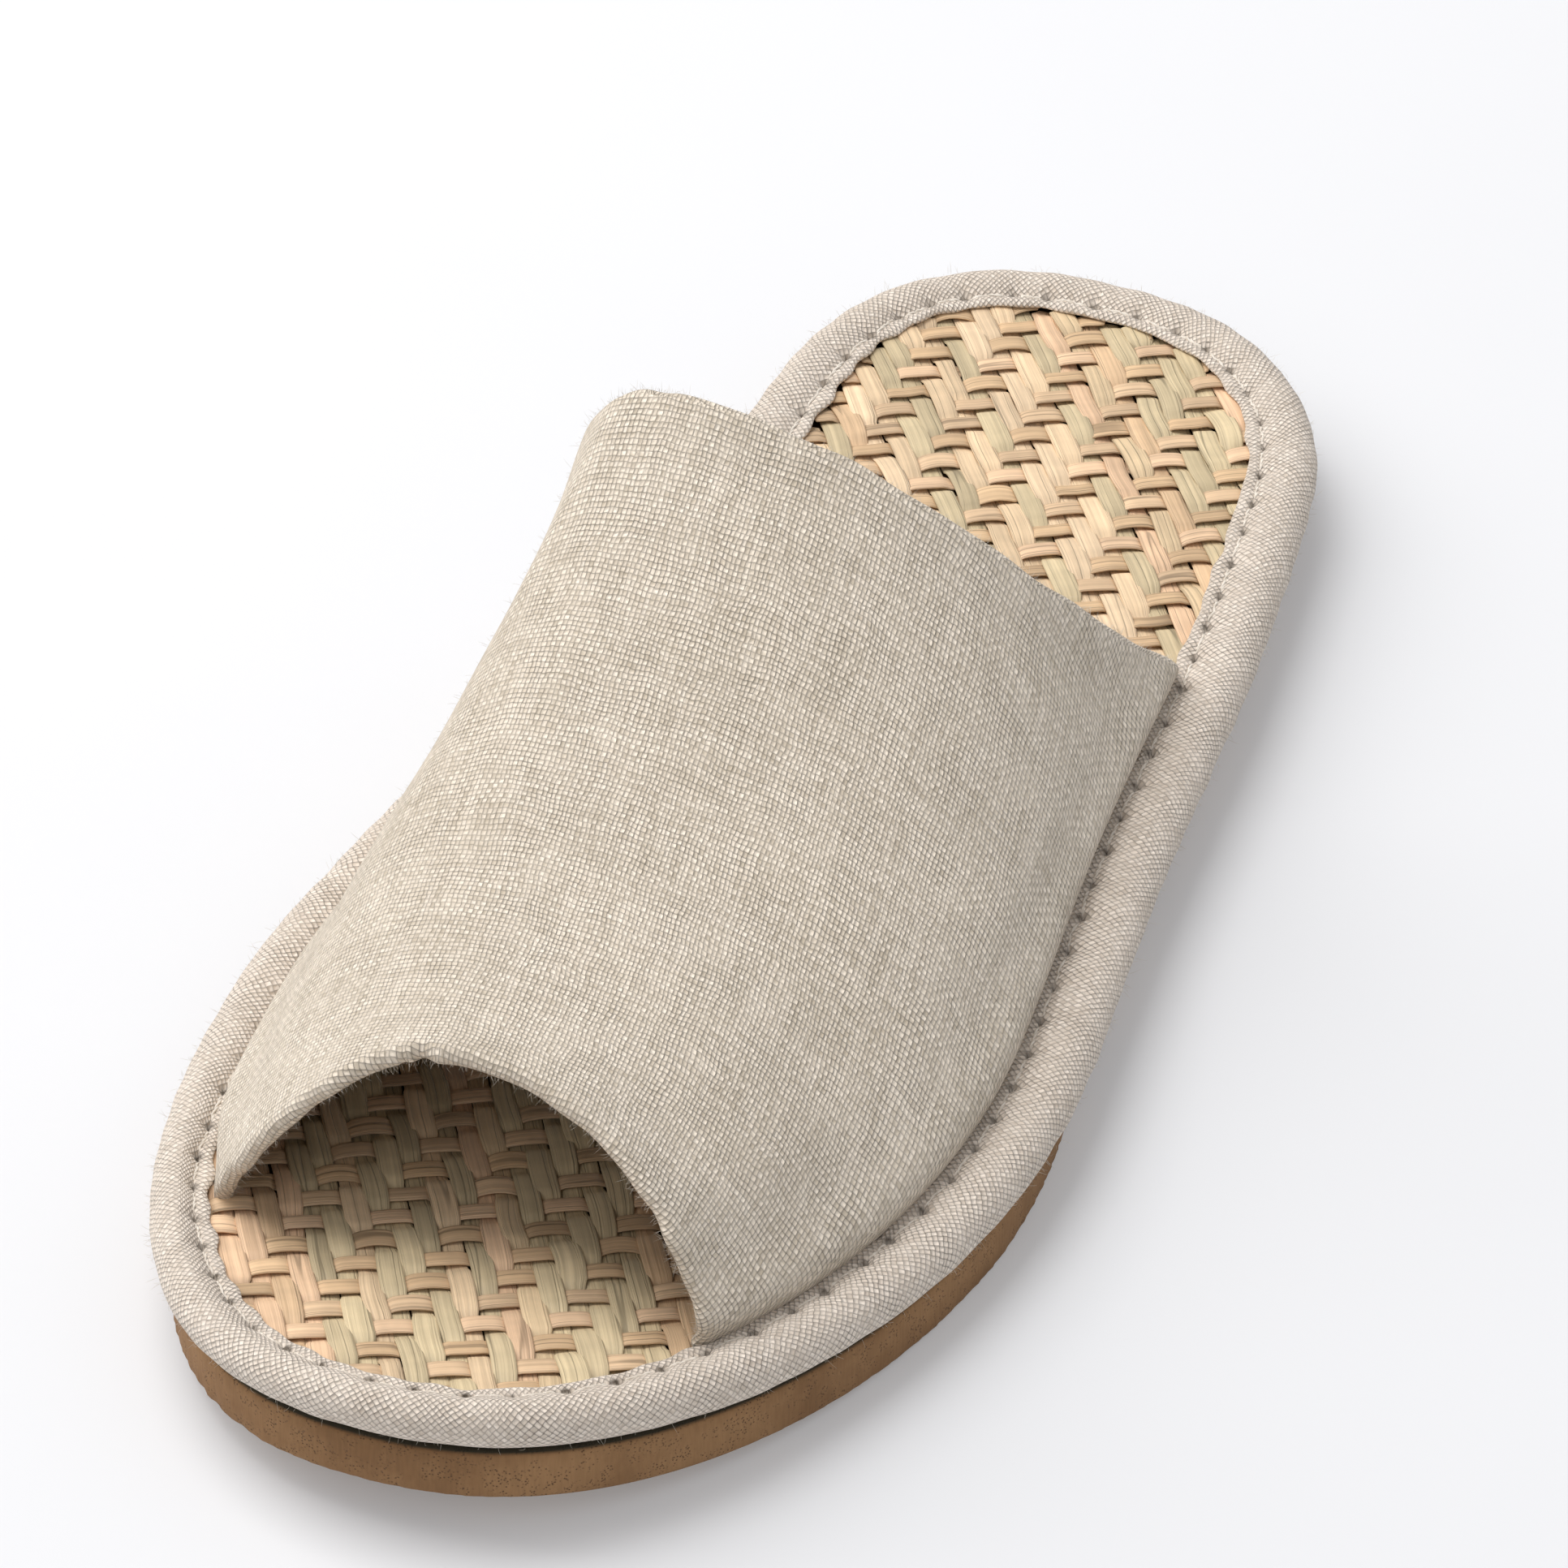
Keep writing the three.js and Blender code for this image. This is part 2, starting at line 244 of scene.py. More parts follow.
# %% Node helpers
def new_group(name, inputs, outputs):
    """An empty shader group with named sockets. Vector inputs are named with a star."""
    group = bpy.data.node_groups.new(name, "ShaderNodeTree")
    for socket, default in inputs.items():
        vector = socket.endswith("*")
        kind = "NodeSocketVector" if vector else "NodeSocketFloat"
        made = group.interface.new_socket(socket.rstrip("*"), in_out="INPUT", socket_type=kind)
        if not vector:
            made.default_value = default
    for socket in outputs:
        group.interface.new_socket(socket, in_out="OUTPUT", socket_type="NodeSocketFloat")
    return group, group.nodes.new("NodeGroupInput").outputs, group.nodes.new("NodeGroupOutput").inputs


def put(tree, kind, links=(), **settings):
    """A node with its settings, and its inputs from links, which maps a socket to a socket or a value."""
    node = tree.nodes.new(kind)
    for key, value in settings.items():
        setattr(node, key, value)
    for socket, value in dict(links).items():
        if isinstance(value, bpy.types.NodeSocket):
            tree.links.new(value, node.inputs[socket])
        else:
            node.inputs[socket].default_value = value
    return node


def maths(tree, operation, a, b=0.0, c=0.0):
    """One Math node. Its inputs are sockets or numbers."""
    return put(tree, "ShaderNodeMath", {0: a, 1: b, 2: c}, operation=operation).outputs[0]


def times(tree, place, factors):
    """A place times one factor for each of its axes."""
    return put(tree, "ShaderNodeVectorMath", {0: place, 1: factors}, operation="MULTIPLY").outputs[0]


def noise(tree, place, scale, detail):
    """Smooth noise of 0 to 1, with finer noise laid over it as detail goes up."""
    links = {"Vector": place, "Scale": scale, "Detail": detail}
    return put(tree, "ShaderNodeTexNoise", links).outputs[0]


def ramp(tree, value, low, high, to_low=0.0, to_high=1.0):
    """A smooth Map Range from low..high to to_low..to_high."""
    links = {"Value": value, "From Min": low, "From Max": high, "To Min": to_low, "To Max": to_high}
    return put(tree, "ShaderNodeMapRange", links, interpolation_type="SMOOTHSTEP").outputs[0]


def mix_colour(tree, share, a, b, blend="MIX"):
    """One colour Mix node."""
    return put(tree, "ShaderNodeMix", {0: share, 6: a, 7: b}, data_type="RGBA", blend_type=blend).outputs[2]


def shaded(tree, colour, level):
    """The colour times a grey level."""
    grey = put(tree, "ShaderNodeCombineColor", {0: level, 1: level, 2: level}).outputs[0]
    return mix_colour(tree, 1.0, colour, grey, "MULTIPLY")


def group_node(tree, group, **links):
    """A placed group with its inputs, each a socket or a number."""
    return put(tree, "ShaderNodeGroup", links, node_tree=group)


def stored(tree, name):
    """A number that the mesh stores at each point."""
    return put(tree, "ShaderNodeAttribute", attribute_name=name).outputs["Fac"]


def object_place(tree):
    return put(tree, "ShaderNodeTexCoord").outputs["Object"]


def new_material(name):
    """A material with one Principled BSDF, and its tree and shader."""
    material = bpy.data.materials.new(name)
    material.use_nodes = True
    tree = material.node_tree
    return material, tree, tree.nodes["Principled BSDF"]


def set_finish(shader, **values):
    """Constant finishes go on the shader's own sockets. An underscore stands for the space in a name."""
    for socket, value in values.items():
        shader.inputs[socket.replace("_", " ")].default_value = value


def set_bump(tree, shader, height, strength, distance):
    bump = put(tree, "ShaderNodeBump", {"Height": height, "Strength": strength, "Distance": distance})
    tree.links.new(bump.outputs[0], shader.inputs["Normal"])


def srgb(red, green, blue):
    """A display colour of 0 to 255 as linear light with alpha."""
    share = np.array([red, green, blue]) / 255
    linear = np.where(share <= 0.04045, share / 12.92, ((share + 0.055) / 1.055) ** 2.4)
    return (*linear.tolist(), 1.0)


# %% Mottling
def build_mottle():
    """Cloudy variation: two sizes of noise, four parts of the large to one of the fine."""
    group, inputs, outputs = new_group("mottle", {"Place*": 0, "Size": 30.0}, ["Cloud"])
    large = noise(group, inputs["Place"], inputs["Size"], 3.0)
    fine = noise(group, inputs["Place"], maths(group, "MULTIPLY", inputs["Size"], 7.0), 2.0)
    both = maths(group, "MULTIPLY_ADD", fine, 0.2, maths(group, "MULTIPLY", large, 0.8))
    group.links.new(both, outputs["Cloud"])
    return group


MOTTLE = build_mottle()

# %% [markdown]
# ## Plain-woven linen
#
# Linen is woven from slightly uneven threads, one over and one under. The group takes the place on the
# cloth counted in threads. A thread's round top is a sine across it, and which of the two threads lies
# on top is the sign of the product of both sines. Long stretched noise makes some stretches of thread
# thicker, as slubs. A picture of cloth would be quicker, but it would blur close up and show its seams.

# %% The weave group
def build_weave():
    """Height = across * (0.35 + 0.65 * along) of the thread on top. Tone is that thread's own shade, Nub
    one random number per crossing, and Lengthwise is 1 where the lengthwise thread lies on top."""
    names = ["Height", "Tone", "Slub", "Nub", "Lengthwise"]
    group, inputs, outputs = new_group("plain weave", {"Threads*": 0}, names)
    links = {"Vector": inputs["Threads"], "Scale": 0.09, "Detail": 3.0}
    wobble = put(group, "ShaderNodeTexNoise", links).outputs["Color"]
    shift = put(group, "ShaderNodeVectorMath", {0: wobble, 1: (0.5, 0.5, 0.5)}, operation="SUBTRACT")
    links = {0: shift.outputs[0], 1: (2.3, 2.3, 0.0), 2: inputs["Threads"]}
    moved = put(group, "ShaderNodeVectorMath", links, operation="MULTIPLY_ADD").outputs[0]
    across = put(group, "ShaderNodeSeparateXYZ", {0: moved}).outputs
    wave_u, wave_v = (maths(group, "SINE", maths(group, "MULTIPLY", across[k], np.pi)) for k in (0, 1))
    on_top = ramp(group, maths(group, "MULTIPLY", wave_u, wave_v), -0.12, 0.12)
    round_u, round_v = maths(group, "ABSOLUTE", wave_u), maths(group, "ABSOLUTE", wave_v)

    def thread(over, along):
        return maths(group, "MULTIPLY", over, maths(group, "MULTIPLY_ADD", along, 0.65, 0.35))

    def pick(from_v, from_u):
        return put(group, "ShaderNodeMix", {0: on_top, 2: from_v, 3: from_u}, data_type="FLOAT").outputs[0]

    tone_v, tone_u = (noise(group, times(group, moved, stretch), 1.0, 1.5)
                      for stretch in ((0.05, 0.9, 0.0), (0.9, 0.05, 0.0)))
    tone = pick(tone_v, tone_u)
    crossing = put(group, "ShaderNodeVectorMath", {0: moved}, operation="FLOOR").outputs[0]
    nub = put(group, "ShaderNodeTexWhiteNoise", {"Vector": crossing}, noise_dimensions="2D").outputs[0]
    height = pick(thread(round_v, round_u), thread(round_u, round_v))
    for name, value in zip(names, (height, tone, ramp(group, tone, 0.56, 0.7), nub, on_top)):
        group.links.new(value, outputs[name])
    return group


WEAVE = build_weave()


# %% Linen
def linen(name, light, dark, pitch, angle=0.0, relief=0.00026, holes=False):
    """Natural linen. The UV map is in mm, pitch is mm per thread across and along, and angle is the bias.
    Gaps between threads get painted shade, more where the weave is loose. Stored needle holes get painted
    shade."""
    material, tree, shader = new_material(name)
    uv = put(tree, "ShaderNodeUVMap", uv_map="cloth").outputs[0]
    turned = put(tree, "ShaderNodeMapping", {"Vector": uv, "Rotation": (0, 0, np.radians(angle)),
                                             "Scale": (1 / pitch[0], 1 / pitch[1], 1)}).outputs[0]
    weave = group_node(tree, WEAVE, Threads=turned).outputs
    cloud = group_node(tree, MOTTLE, Place=object_place(tree), Size=42.0).outputs[0]
    tone = maths(tree, "MULTIPLY_ADD", weave["Nub"], 0.4,
                 maths(tree, "MULTIPLY", ramp(tree, weave["Tone"], 0.3, 0.7), 0.6))
    clouded = maths(tree, "MULTIPLY_ADD", ramp(tree, cloud, 0.35, 0.65), 0.13,
                    maths(tree, "MULTIPLY", tone, 0.87))
    # Painted shade between threads: the low parts of the weave are darkened, more where the weave is loose.
    gap_shade = ramp(tree, weave["Height"], 0.03, 0.5, 0.46, -0.05)
    looseness = ramp(tree, noise(tree, turned, 0.13, 4.0), 0.36, 0.66, 0.74, 1.34)
    gap_shade_level = maths(tree, "SUBTRACT", 1.0, maths(tree, "MULTIPLY", gap_shade, looseness))
    level = maths(tree, "MULTIPLY", gap_shade_level, ramp(tree, weave["Lengthwise"], 0.0, 1.0, 1.04, 0.93))
    colour = shaded(tree, mix_colour(tree, clouded, srgb(*dark), srgb(*light)), level)
    # Painted shade in the needle holes: the stored value mixes the cloth towards a dark brown.
    if holes:
        colour = mix_colour(tree, stored(tree, "hole"), colour, srgb(84, 74, 62))
    tree.links.new(colour, shader.inputs["Base Color"])
    height = maths(tree, "MULTIPLY_ADD", weave["Slub"], 0.4,
                   maths(tree, "MULTIPLY_ADD", weave["Nub"], 0.25, weave["Height"]))
    set_bump(tree, shader, height, 0.85, relief)
    set_finish(shader, Roughness=0.92, Specular_IOR_Level=0.2, Sheen_Weight=0.25, Sheen_Roughness=0.5,
               Sheen_Tint=(1.0, 0.97, 0.92, 1.0))
    return material


BAND_PITCH, EDGING_PITCH = (0.6, 0.85), (0.7, 0.7)
UPPER_LINEN = linen("upper linen", (244, 232, 215), (190, 177, 157), BAND_PITCH)
# The lining is the same linen, made darker and browner as painted shade, so that the inside under the toe
# opening is dark.
LINING_LINEN_SHADED = linen("lining linen in painted shade", (176, 157, 130), (144, 126, 101), BAND_PITCH)
EDGING_LINEN = linen("edging linen", (244, 232, 218), (204, 190, 174), EDGING_PITCH, angle=45.0, holes=True)
print("linen made for the upper, its lining and the edging")

# %% [markdown]
# ## Rush, foam and the plain finishes
#
# Dried rush is satin and fibrous. Each strip keeps one shade of straw, peach or sage, and the grain runs
# along it. The UV map of a strip is its length and width in mm, moved aside for each strip, so one
# stretched noise gives every strip its own fibres and splits, and the splits are darkened as painted shade.
# The foam is matte with fine open pores, darkened as painted shade, and upright marks of the knife. Along
# its top edge runs a dark line that is partly glue and partly painted shade under the edging's roll.

# %% Rush
def rush(name, shades, splits):
    """Grain is noise stretched along the strip. Narrow dips of a second noise are open splits, lowered in the
    bump and darkened as painted shade in the cracks. splits is their width as a share of that noise."""
    material, tree, shader = new_material(name)
    uv = put(tree, "ShaderNodeUVMap", uv_map="cloth").outputs[0]
    fibre, band, knot = (noise(tree, times(tree, uv, (along, across, 1.0)), 1.0, detail)
                         for along, across, detail in ((0.04, 5.5, 3.0), (0.012, 1.3, 0.0), (0.3, 0.4, 2.0)))
    strip = put(tree, "ShaderNodeValToRGB", {0: stored(tree, "hue")})
    strip.color_ramp.interpolation = "CONSTANT"
    for k, colour in enumerate(shades):
        stop = strip.color_ramp.elements[k] if k < 2 else strip.color_ramp.elements.new(k / len(shades))
        stop.position = k / len(shades)
        stop.color = srgb(*colour)
    grain = ramp(tree, fibre, 0.3, 0.7, 0.84, 1.1)
    from_split = maths(tree, "ABSOLUTE", maths(tree, "SUBTRACT", band, 0.5))
    # Painted shade in the open splits: the colour falls to 0.58 of itself in the narrow dips.
    split_dip_and_shade = ramp(tree, from_split, 0.0, splits, 0.58, 1.0)
    level = maths(tree, "MULTIPLY", maths(tree, "MULTIPLY", grain, split_dip_and_shade),
                  maths(tree, "MULTIPLY", stored(tree, "shade"), ramp(tree, knot, 0.3, 0.75, 0.93, 1.05)))
    tree.links.new(shaded(tree, strip.outputs[0], level), shader.inputs["Base Color"])
    set_bump(tree, shader, maths(tree, "MULTIPLY_ADD", split_dip_and_shade, 0.6, fibre), 0.7, 0.00025)
    tree.links.new(ramp(tree, fibre, 0.2, 0.8, 0.42, 0.62), shader.inputs["Roughness"])
    set_finish(shader, Specular_IOR_Level=0.35)
    return material


LONG_RUSH = rush("rush lengthwise", [(233, 205, 168), (214, 195, 158), (235, 199, 163), (224, 198, 160),
                                     (209, 190, 154), (240, 212, 176), (222, 189, 151)], 0.02)
CROSS_RUSH = rush("rush crosswise", [(228, 194, 154), (217, 185, 146), (233, 199, 163), (221, 190, 154),
                                     (212, 180, 142)], 0.035)


# %% Foam
def foam():
    """Brown foam: fine pores are the middles of small cells, darkened as painted shade, seen where a cloud of
    noise lets them.
    Knife marks are noise drawn out eight times in height, so that they run upright."""
    material, tree, shader = new_material("sole foam")
    place = object_place(tree)
    cloud = group_node(tree, MOTTLE, Place=place, Size=60.0).outputs[0]
    cells = put(tree, "ShaderNodeTexVoronoi", {"Vector": place, "Scale": 2600.0}).outputs["Distance"]
    # Painted shade in the open pores: cell middles are mixed towards a dark brown where the cloud lets them.
    pore_shade = ramp(tree, cells, 0.1, 0.4)
    rare = ramp(tree, noise(tree, place, 420.0, 2.0), 0.42, 0.6)
    level = maths(tree, "SUBTRACT", 1.0, maths(tree, "MULTIPLY", maths(tree, "SUBTRACT", 1.0, pore_shade), rare))
    cut = ramp(tree, noise(tree, times(tree, place, (1.0, 1.0, 0.12)), 2600.0, 3.0), 0.3, 0.7, 0.93, 1.05)
    base = mix_colour(tree, ramp(tree, cloud, 0.35, 0.65), srgb(131, 97, 64), srgb(154, 118, 81))
    with_pore_shade = shaded(tree, mix_colour(tree, level, srgb(98, 72, 50), base), cut)
    # Dark top line of the side: partly glue, partly painted shade under the edging's roll.
    glued = mix_colour(tree, stored(tree, "glue"), with_pore_shade, srgb(60, 55, 42))
    tree.links.new(glued, shader.inputs["Base Color"])
    set_bump(tree, shader, maths(tree, "MULTIPLY_ADD", cut, 0.6, level), 0.6, 0.0003)
    set_finish(shader, Roughness=0.85, Specular_IOR_Level=0.3)
    return material


def plain(name, colour, second, size, roughness=0.9):
    """Two close shades mixed by the mottling, for the thread, the board and the lint."""
    material, tree, shader = new_material(name)
    cloud = group_node(tree, MOTTLE, Place=object_place(tree), Size=size).outputs[0]
    share = ramp(tree, cloud, 0.38, 0.62)
    tree.links.new(mix_colour(tree, share, srgb(*colour), srgb(*second)), shader.inputs["Base Color"])
    set_finish(shader, Roughness=roughness, Specular_IOR_Level=0.2)
    return material


FOAM = foam()
# The board's dark brown is painted shade for the slits between the rush strips.
SHADED_BOARD = plain("board under the mat in painted shade", (98, 74, 48), (74, 55, 35), 300.0)
THREAD = plain("sewing thread", (233, 225, 213), (212, 202, 188), 900.0, 0.7)
LINT = plain("linen lint", (222, 215, 204), (196, 187, 172), 200.0)
print("rush, foam and thread materials made")

# %% [markdown]
# ## The outsole
#
# One sheet of foam, cut by hand, so its lower edge is a little ragged, and along the little-toe side it
# lies further in. The side is a closed profile carried round the rim: inset and height at each step, with
# a small bevel above and below. Both faces are closed by rings that shrink to the middle line. A bevelled
# plate would be the other way, but its edge would be too even for a hand-cut sole.

# %% Making the outsole
def rim_solid(name, distances, profile, material, slot, extra_inset=0.0, jitter=None, glue_from=99.0):
    """A solid round the rim. profile lists (inset, height) from the middle of the underside, out and up
    to the middle of the top. The first and last rings run along the shoe's middle line. The stored
    attribute is 1 above the given height: a dark top line that is partly adhesive and partly painted shade
    under the edging's roll."""
    insets = np.array([row[0] for row in profile])[:, None]
    heights = np.array([row[1] for row in profile])[:, None]
    xy = rim_point(distances[None, :] + 0 * insets, insets + extra_inset + 0 * distances[None, :])
    if jitter is not None:
        xy = xy + jitter(xy, insets, heights)[..., None]
    middle_y = np.clip(xy[0, :, 1], -HALF_LENGTH + 45, HALF_LENGTH - 45)
    middle = np.stack([np.full_like(middle_y, TIP_SHIFT), middle_y], -1)
    rings = [middle, (middle + xy[0]) / 2, *xy, (middle + xy[-1]) / 2, middle]
    tall = [heights[0, 0]] * 2 + list(heights[:, 0]) + [heights[-1, 0]] * 2
    points = np.stack([np.column_stack([ring, z + lift(ring[:, 1])]) for ring, z in zip(rings, tall)], 1)
    rows, columns = points.shape[:2]
    faces, cells = grid_faces(rows, columns, close_rows=True)
    glue = np.clip((np.array(tall) - glue_from) / 0.12, 0, 1)
    return add_mesh(name, points.reshape(-1, 3), faces, material, cells.astype(float), slot,
                    glue=np.broadcast_to(glue, (rows, columns)).copy())


def ragged(xy, insets, heights):
    """In and out by up to 0.15 mm: three sines along the shoe, on the side's lower half only."""
    low = np.clip(1 - heights / 3.0, 0, 1)
    waves = np.sin(xy[..., 1] * 1.9) + np.sin(xy[..., 1] * 3.7 + xy[..., 0]) + np.sin(xy[..., 0] * 2.6)
    return 0.05 * waves * low


rim_steps = np.arange(0, RIM_LENGTH, 0.9)
SOLE_PROFILE = [(12.0, 0.0), (SOLE_INSET + 0.6, 0.0), (SOLE_INSET + 0.15, 0.15), (SOLE_INSET, 0.6),
                (SOLE_INSET - 0.05, 2.4), (SOLE_INSET - 0.05, 4.6), (SOLE_INSET, 6.3),
                (SOLE_INSET + 0.15, 6.5), (SOLE_INSET + 0.45, 6.8), (SOLE_INSET + 0.9, SOLE_THICKNESS),
                (12.0, SOLE_THICKNESS)]
rim_y = outline_at(rim_steps)[:, 1]
# Above this height the foam's side gets the dark top line: partly glue, partly painted shade under the roll.
FURTHER_IN, GLUE_AND_SHADE_FROM = 1.3, 6.55
# 1 on the little-toe side from the heel to behind the ball, faded to 0 over 30 mm at each end
little_toe_side = ((rim_steps > TOE_TIP_AT) * np.clip((52 - rim_y) / 30, 0, 1)
                   * np.clip((rim_y + 118) / 30, 0, 1))
outsole = rim_solid("outsole_foam", rim_steps, SOLE_PROFILE, FOAM, "foam", FURTHER_IN * little_toe_side,
                    ragged, GLUE_AND_SHADE_FROM)
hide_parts("outsole")

# %% [markdown]
# ## The board under the mat
#
# The mat is glued to a board. Only slits of it show between the strips, so it is a plain plate that
# fills the place of the CAD insole below the strips and the folded cloth. Its dark brown is painted shade,
# so that the slits between the strips read dark.

# %% Making the board
BOARD_TOP = MAT_TOP - 1.75
BOARD_PROFILE = [(16.0, BOARD_BOTTOM), (5.6, BOARD_BOTTOM), (5.3, BOARD_BOTTOM + 0.3),
                 (5.3, BOARD_TOP - 0.3), (5.6, BOARD_TOP), (16.0, BOARD_TOP)]
board = rim_solid("insole_board", np.arange(0, RIM_LENGTH, 2.0), BOARD_PROFILE, SHADED_BOARD, "rush")
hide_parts("insole")

# %% [markdown]
# ## The woven rush
#
# The mat is a twill: each lengthwise strip goes over two crosswise strips and under two, and the next one
# does the same one strip later, so the floats step across the mat. A lattice of two steps, measured on
# the mat, carries it: one from strip to strip, one from row to row. The rows widen towards the toe, so
# the second step grows. A strip's height is a wave along it with a period of four rows. The wave is
# steepened by tanh, so that floats lie flat and dive sharply. A bump texture of a weave would be lighter,
# but the light falls between real strips, and they are seen from near.

# %% The lattice
MAT_START = np.array([13.67, -123.46])
CROSS_STEP = np.array([2.286, 1.312])
LONG_STEP = np.array([2.459, -3.24])
LONG_GROWTH = np.array([0.0019, 0.0174])
STRIP_MIDDLE = MAT_TOP - 0.72
STRIP_SIDES, STRIP_HALF_THICKNESS = 12, 0.19


def mat_point(i, j):
    """Start + i steps across + j steps along + half j^2 times the growth: rows widen towards the toe."""
    i, j = np.asarray(i, float)[..., None], np.asarray(j, float)[..., None]
    return MAT_START + i * CROSS_STEP + j * LONG_STEP + 0.5 * j**2 * LONG_GROWTH


def mat_steps(xy):
    """The inverse of mat_point by Newton's rule, all points at once."""
    place = (xy - MAT_START) @ np.linalg.inv(np.stack([CROSS_STEP, LONG_STEP - 25 * LONG_GROWTH]))
    for _ in range(12):
        along = LONG_STEP + place[:, 1:] * LONG_GROWTH
        left = xy - mat_point(place[:, 0], place[:, 1])
        turn = CROSS_STEP[0] * along[:, 1] - CROSS_STEP[1] * along[:, 0]
        miss = np.stack([left[:, 0] * along[:, 1] - left[:, 1] * along[:, 0],
                         CROSS_STEP[0] * left[:, 1] - CROSS_STEP[1] * left[:, 0]], -1)
        place = place + miss / turn[:, None]
    return place


mat_edge_at = np.arange(0, RIM_LENGTH, 1.0)
UNDER_LIP = 1.3
mat_edge = rim_point(mat_edge_at, edging_width(mat_edge_at) - UNDER_LIP)
edge_in_steps = mat_steps(mat_edge)
print("mat lattice error", np.abs(mat_point(*edge_in_steps.T) - mat_edge).max().round(4), "mm")


def strip_ranges(index_axis):
    """Where each whole-numbered strip enters and leaves the mat, by crossing its edge's line segments."""
    index, run = edge_in_steps[:, index_axis], edge_in_steps[:, 1 - index_axis]
    ahead_index, ahead_run = np.roll(index, -1), np.roll(run, -1)
    found = []
    for k in range(int(np.ceil(index.min())), int(np.floor(index.max())) + 1):
        crosses = (index - k) * (ahead_index - k) < 0
        at = run[crosses] + (k - index[crosses]) / (ahead_index - index)[crosses] * (ahead_run - run)[crosses]
        if len(at) > 1 and at.max() - at.min() > 0.5:
            found.append((k, at.min(), at.max()))
    return np.array(found)


def rush_strips(name, index_axis, material, free_width, held_width, rise, steepness, phase, spacing, seed):
    """All strips one way. Height is tanh(k cos) of the place along the strip, and the strip is widest
    where it floats. The section is a flat superellipse that tilts a little, like a shingle."""
    random = np.random.default_rng(seed)
    ranges = strip_ranges(index_axis)
    unit = np.linalg.norm((LONG_STEP - 25 * LONG_GROWTH, CROSS_STEP)[index_axis])
    counts = np.ceil((ranges[:, 2] - ranges[:, 1]) * unit / spacing).astype(int) + 2
    strip = np.repeat(np.arange(len(ranges)), counts)
    place = np.concatenate([np.linspace(low, high, n) for (_, low, high), n in zip(ranges, counts)])
    index = ranges[strip, 0]
    i, j = (index, place) if index_axis == 0 else (place, index)
    cycle = 2 * np.pi * (place + index + phase) / 4
    wave = np.tanh(steepness * np.cos(cycle)) / np.tanh(steepness)
    float_number = np.floor((place + index + phase + 1) / 4)
    per_float = random.normal(0, 1, (2, len(ranges), 400))
    nth = (float_number - float_number.min()).astype(int) % 400
    odd, lean = per_float[0, strip, nth], per_float[1, strip, nth]
    drift = sum(random.normal(0, 0.1, len(ranges))[strip] * np.sin(place * rate + index)
                for rate in (0.35, 0.9))
    ahead = (LONG_STEP + j[:, None] * LONG_GROWTH) if index_axis == 0 else CROSS_STEP + 0 * j[:, None]
    ahead = ahead / np.linalg.norm(ahead, axis=1, keepdims=True)
    across_way = np.stack([-ahead[:, 1], ahead[:, 0]], -1)
    bow = 0.16 * lean * np.clip(np.cos(cycle), 0, 1)
    centre = mat_point(i, j) + (drift + bow)[:, None] * across_way
    width = held_width + (free_width * (1 + 0.08 * odd) - held_width) * (0.5 + 0.5 * wave)
    arch = np.clip(np.cos(cycle), 0, 1)
    middle = STRIP_MIDDLE + rise * wave + (0.1 + 0.05 * odd) * arch**2
    ends = np.ones(len(place))
    edge_rows = np.flatnonzero(np.diff(strip, prepend=-1) | np.diff(strip, append=-1))
    ends[edge_rows] = 0.02
    theta = (np.arange(STRIP_SIDES) + 0.5) * 2 * np.pi / STRIP_SIDES
    side_way = np.sign(np.cos(theta)) * np.abs(np.cos(theta)) ** 0.5
    up_way = np.sign(np.sin(theta)) * np.abs(np.sin(theta)) ** 0.7
    tilt = 0.07 + 0.05 * lean
    across = side_way[None, :] * (width * ends / 2)[:, None]
    curl = 0.05 * (side_way[None, :] ** 2) * (1 + lean[:, None])
    up = up_way[None, :] * (STRIP_HALF_THICKNESS * ends)[:, None] + across * tilt[:, None]
    up = up - curl * arch[:, None]
    xy = centre[:, None, :] + across[..., None] * across_way[:, None, :]
    z = middle[:, None] + up + lift(centre[:, 1])[:, None]
    points = np.concatenate([xy, z[..., None]], -1)
    rows, columns = points.shape[:2]
    faces, cells = grid_faces(rows, columns, close_columns=True)
    same = strip[faces[:, 0] // columns] == strip[faces[:, 1] // columns]
    faces, cells = faces[same][:, ::-1], cells[same][:, ::-1]
    length = place * unit
    uv = np.stack([length[cells[..., 0]], cells[..., 1] * 0.45 + strip[cells[..., 0]] * 23.0], -1)
    hue = random.random(len(ranges))[strip]
    shade = np.clip(1 + 0.06 * odd + random.normal(0, 0.04, len(ranges))[strip], 0.8, 1.12)
    return add_mesh(name, points.reshape(-1, 3), faces, material, uv, "rush",
                    hue=np.repeat(hue, columns), shade=np.repeat(shade, columns))


rush_strips("rush_lengthwise", 0, LONG_RUSH, free_width=3.05, held_width=2.7, rise=0.38, steepness=5.0,
            phase=-1.5, spacing=0.8, seed=11)
rush_strips("rush_crosswise", 1, CROSS_RUSH, free_width=2.9, held_width=2.8, rise=0.34, steepness=3.0,
            phase=0.5, spacing=0.55, seed=12)

# %% [markdown]
# ## The padded edging
#
# A bias strip of linen is folded round a soft cord and sewn through the mat with thick thread. Across it
# there is the padded roll, the seam in a crease, and a narrow flat lip on the mat. The section is carried
# round the rim. At each stitch the cloth is pulled down, so the seam is a row of small pits with the
# thread lying between them, and the lip puckers. A cloth simulation could puff the roll, but it would blur
# the seam, so the section is worked out.

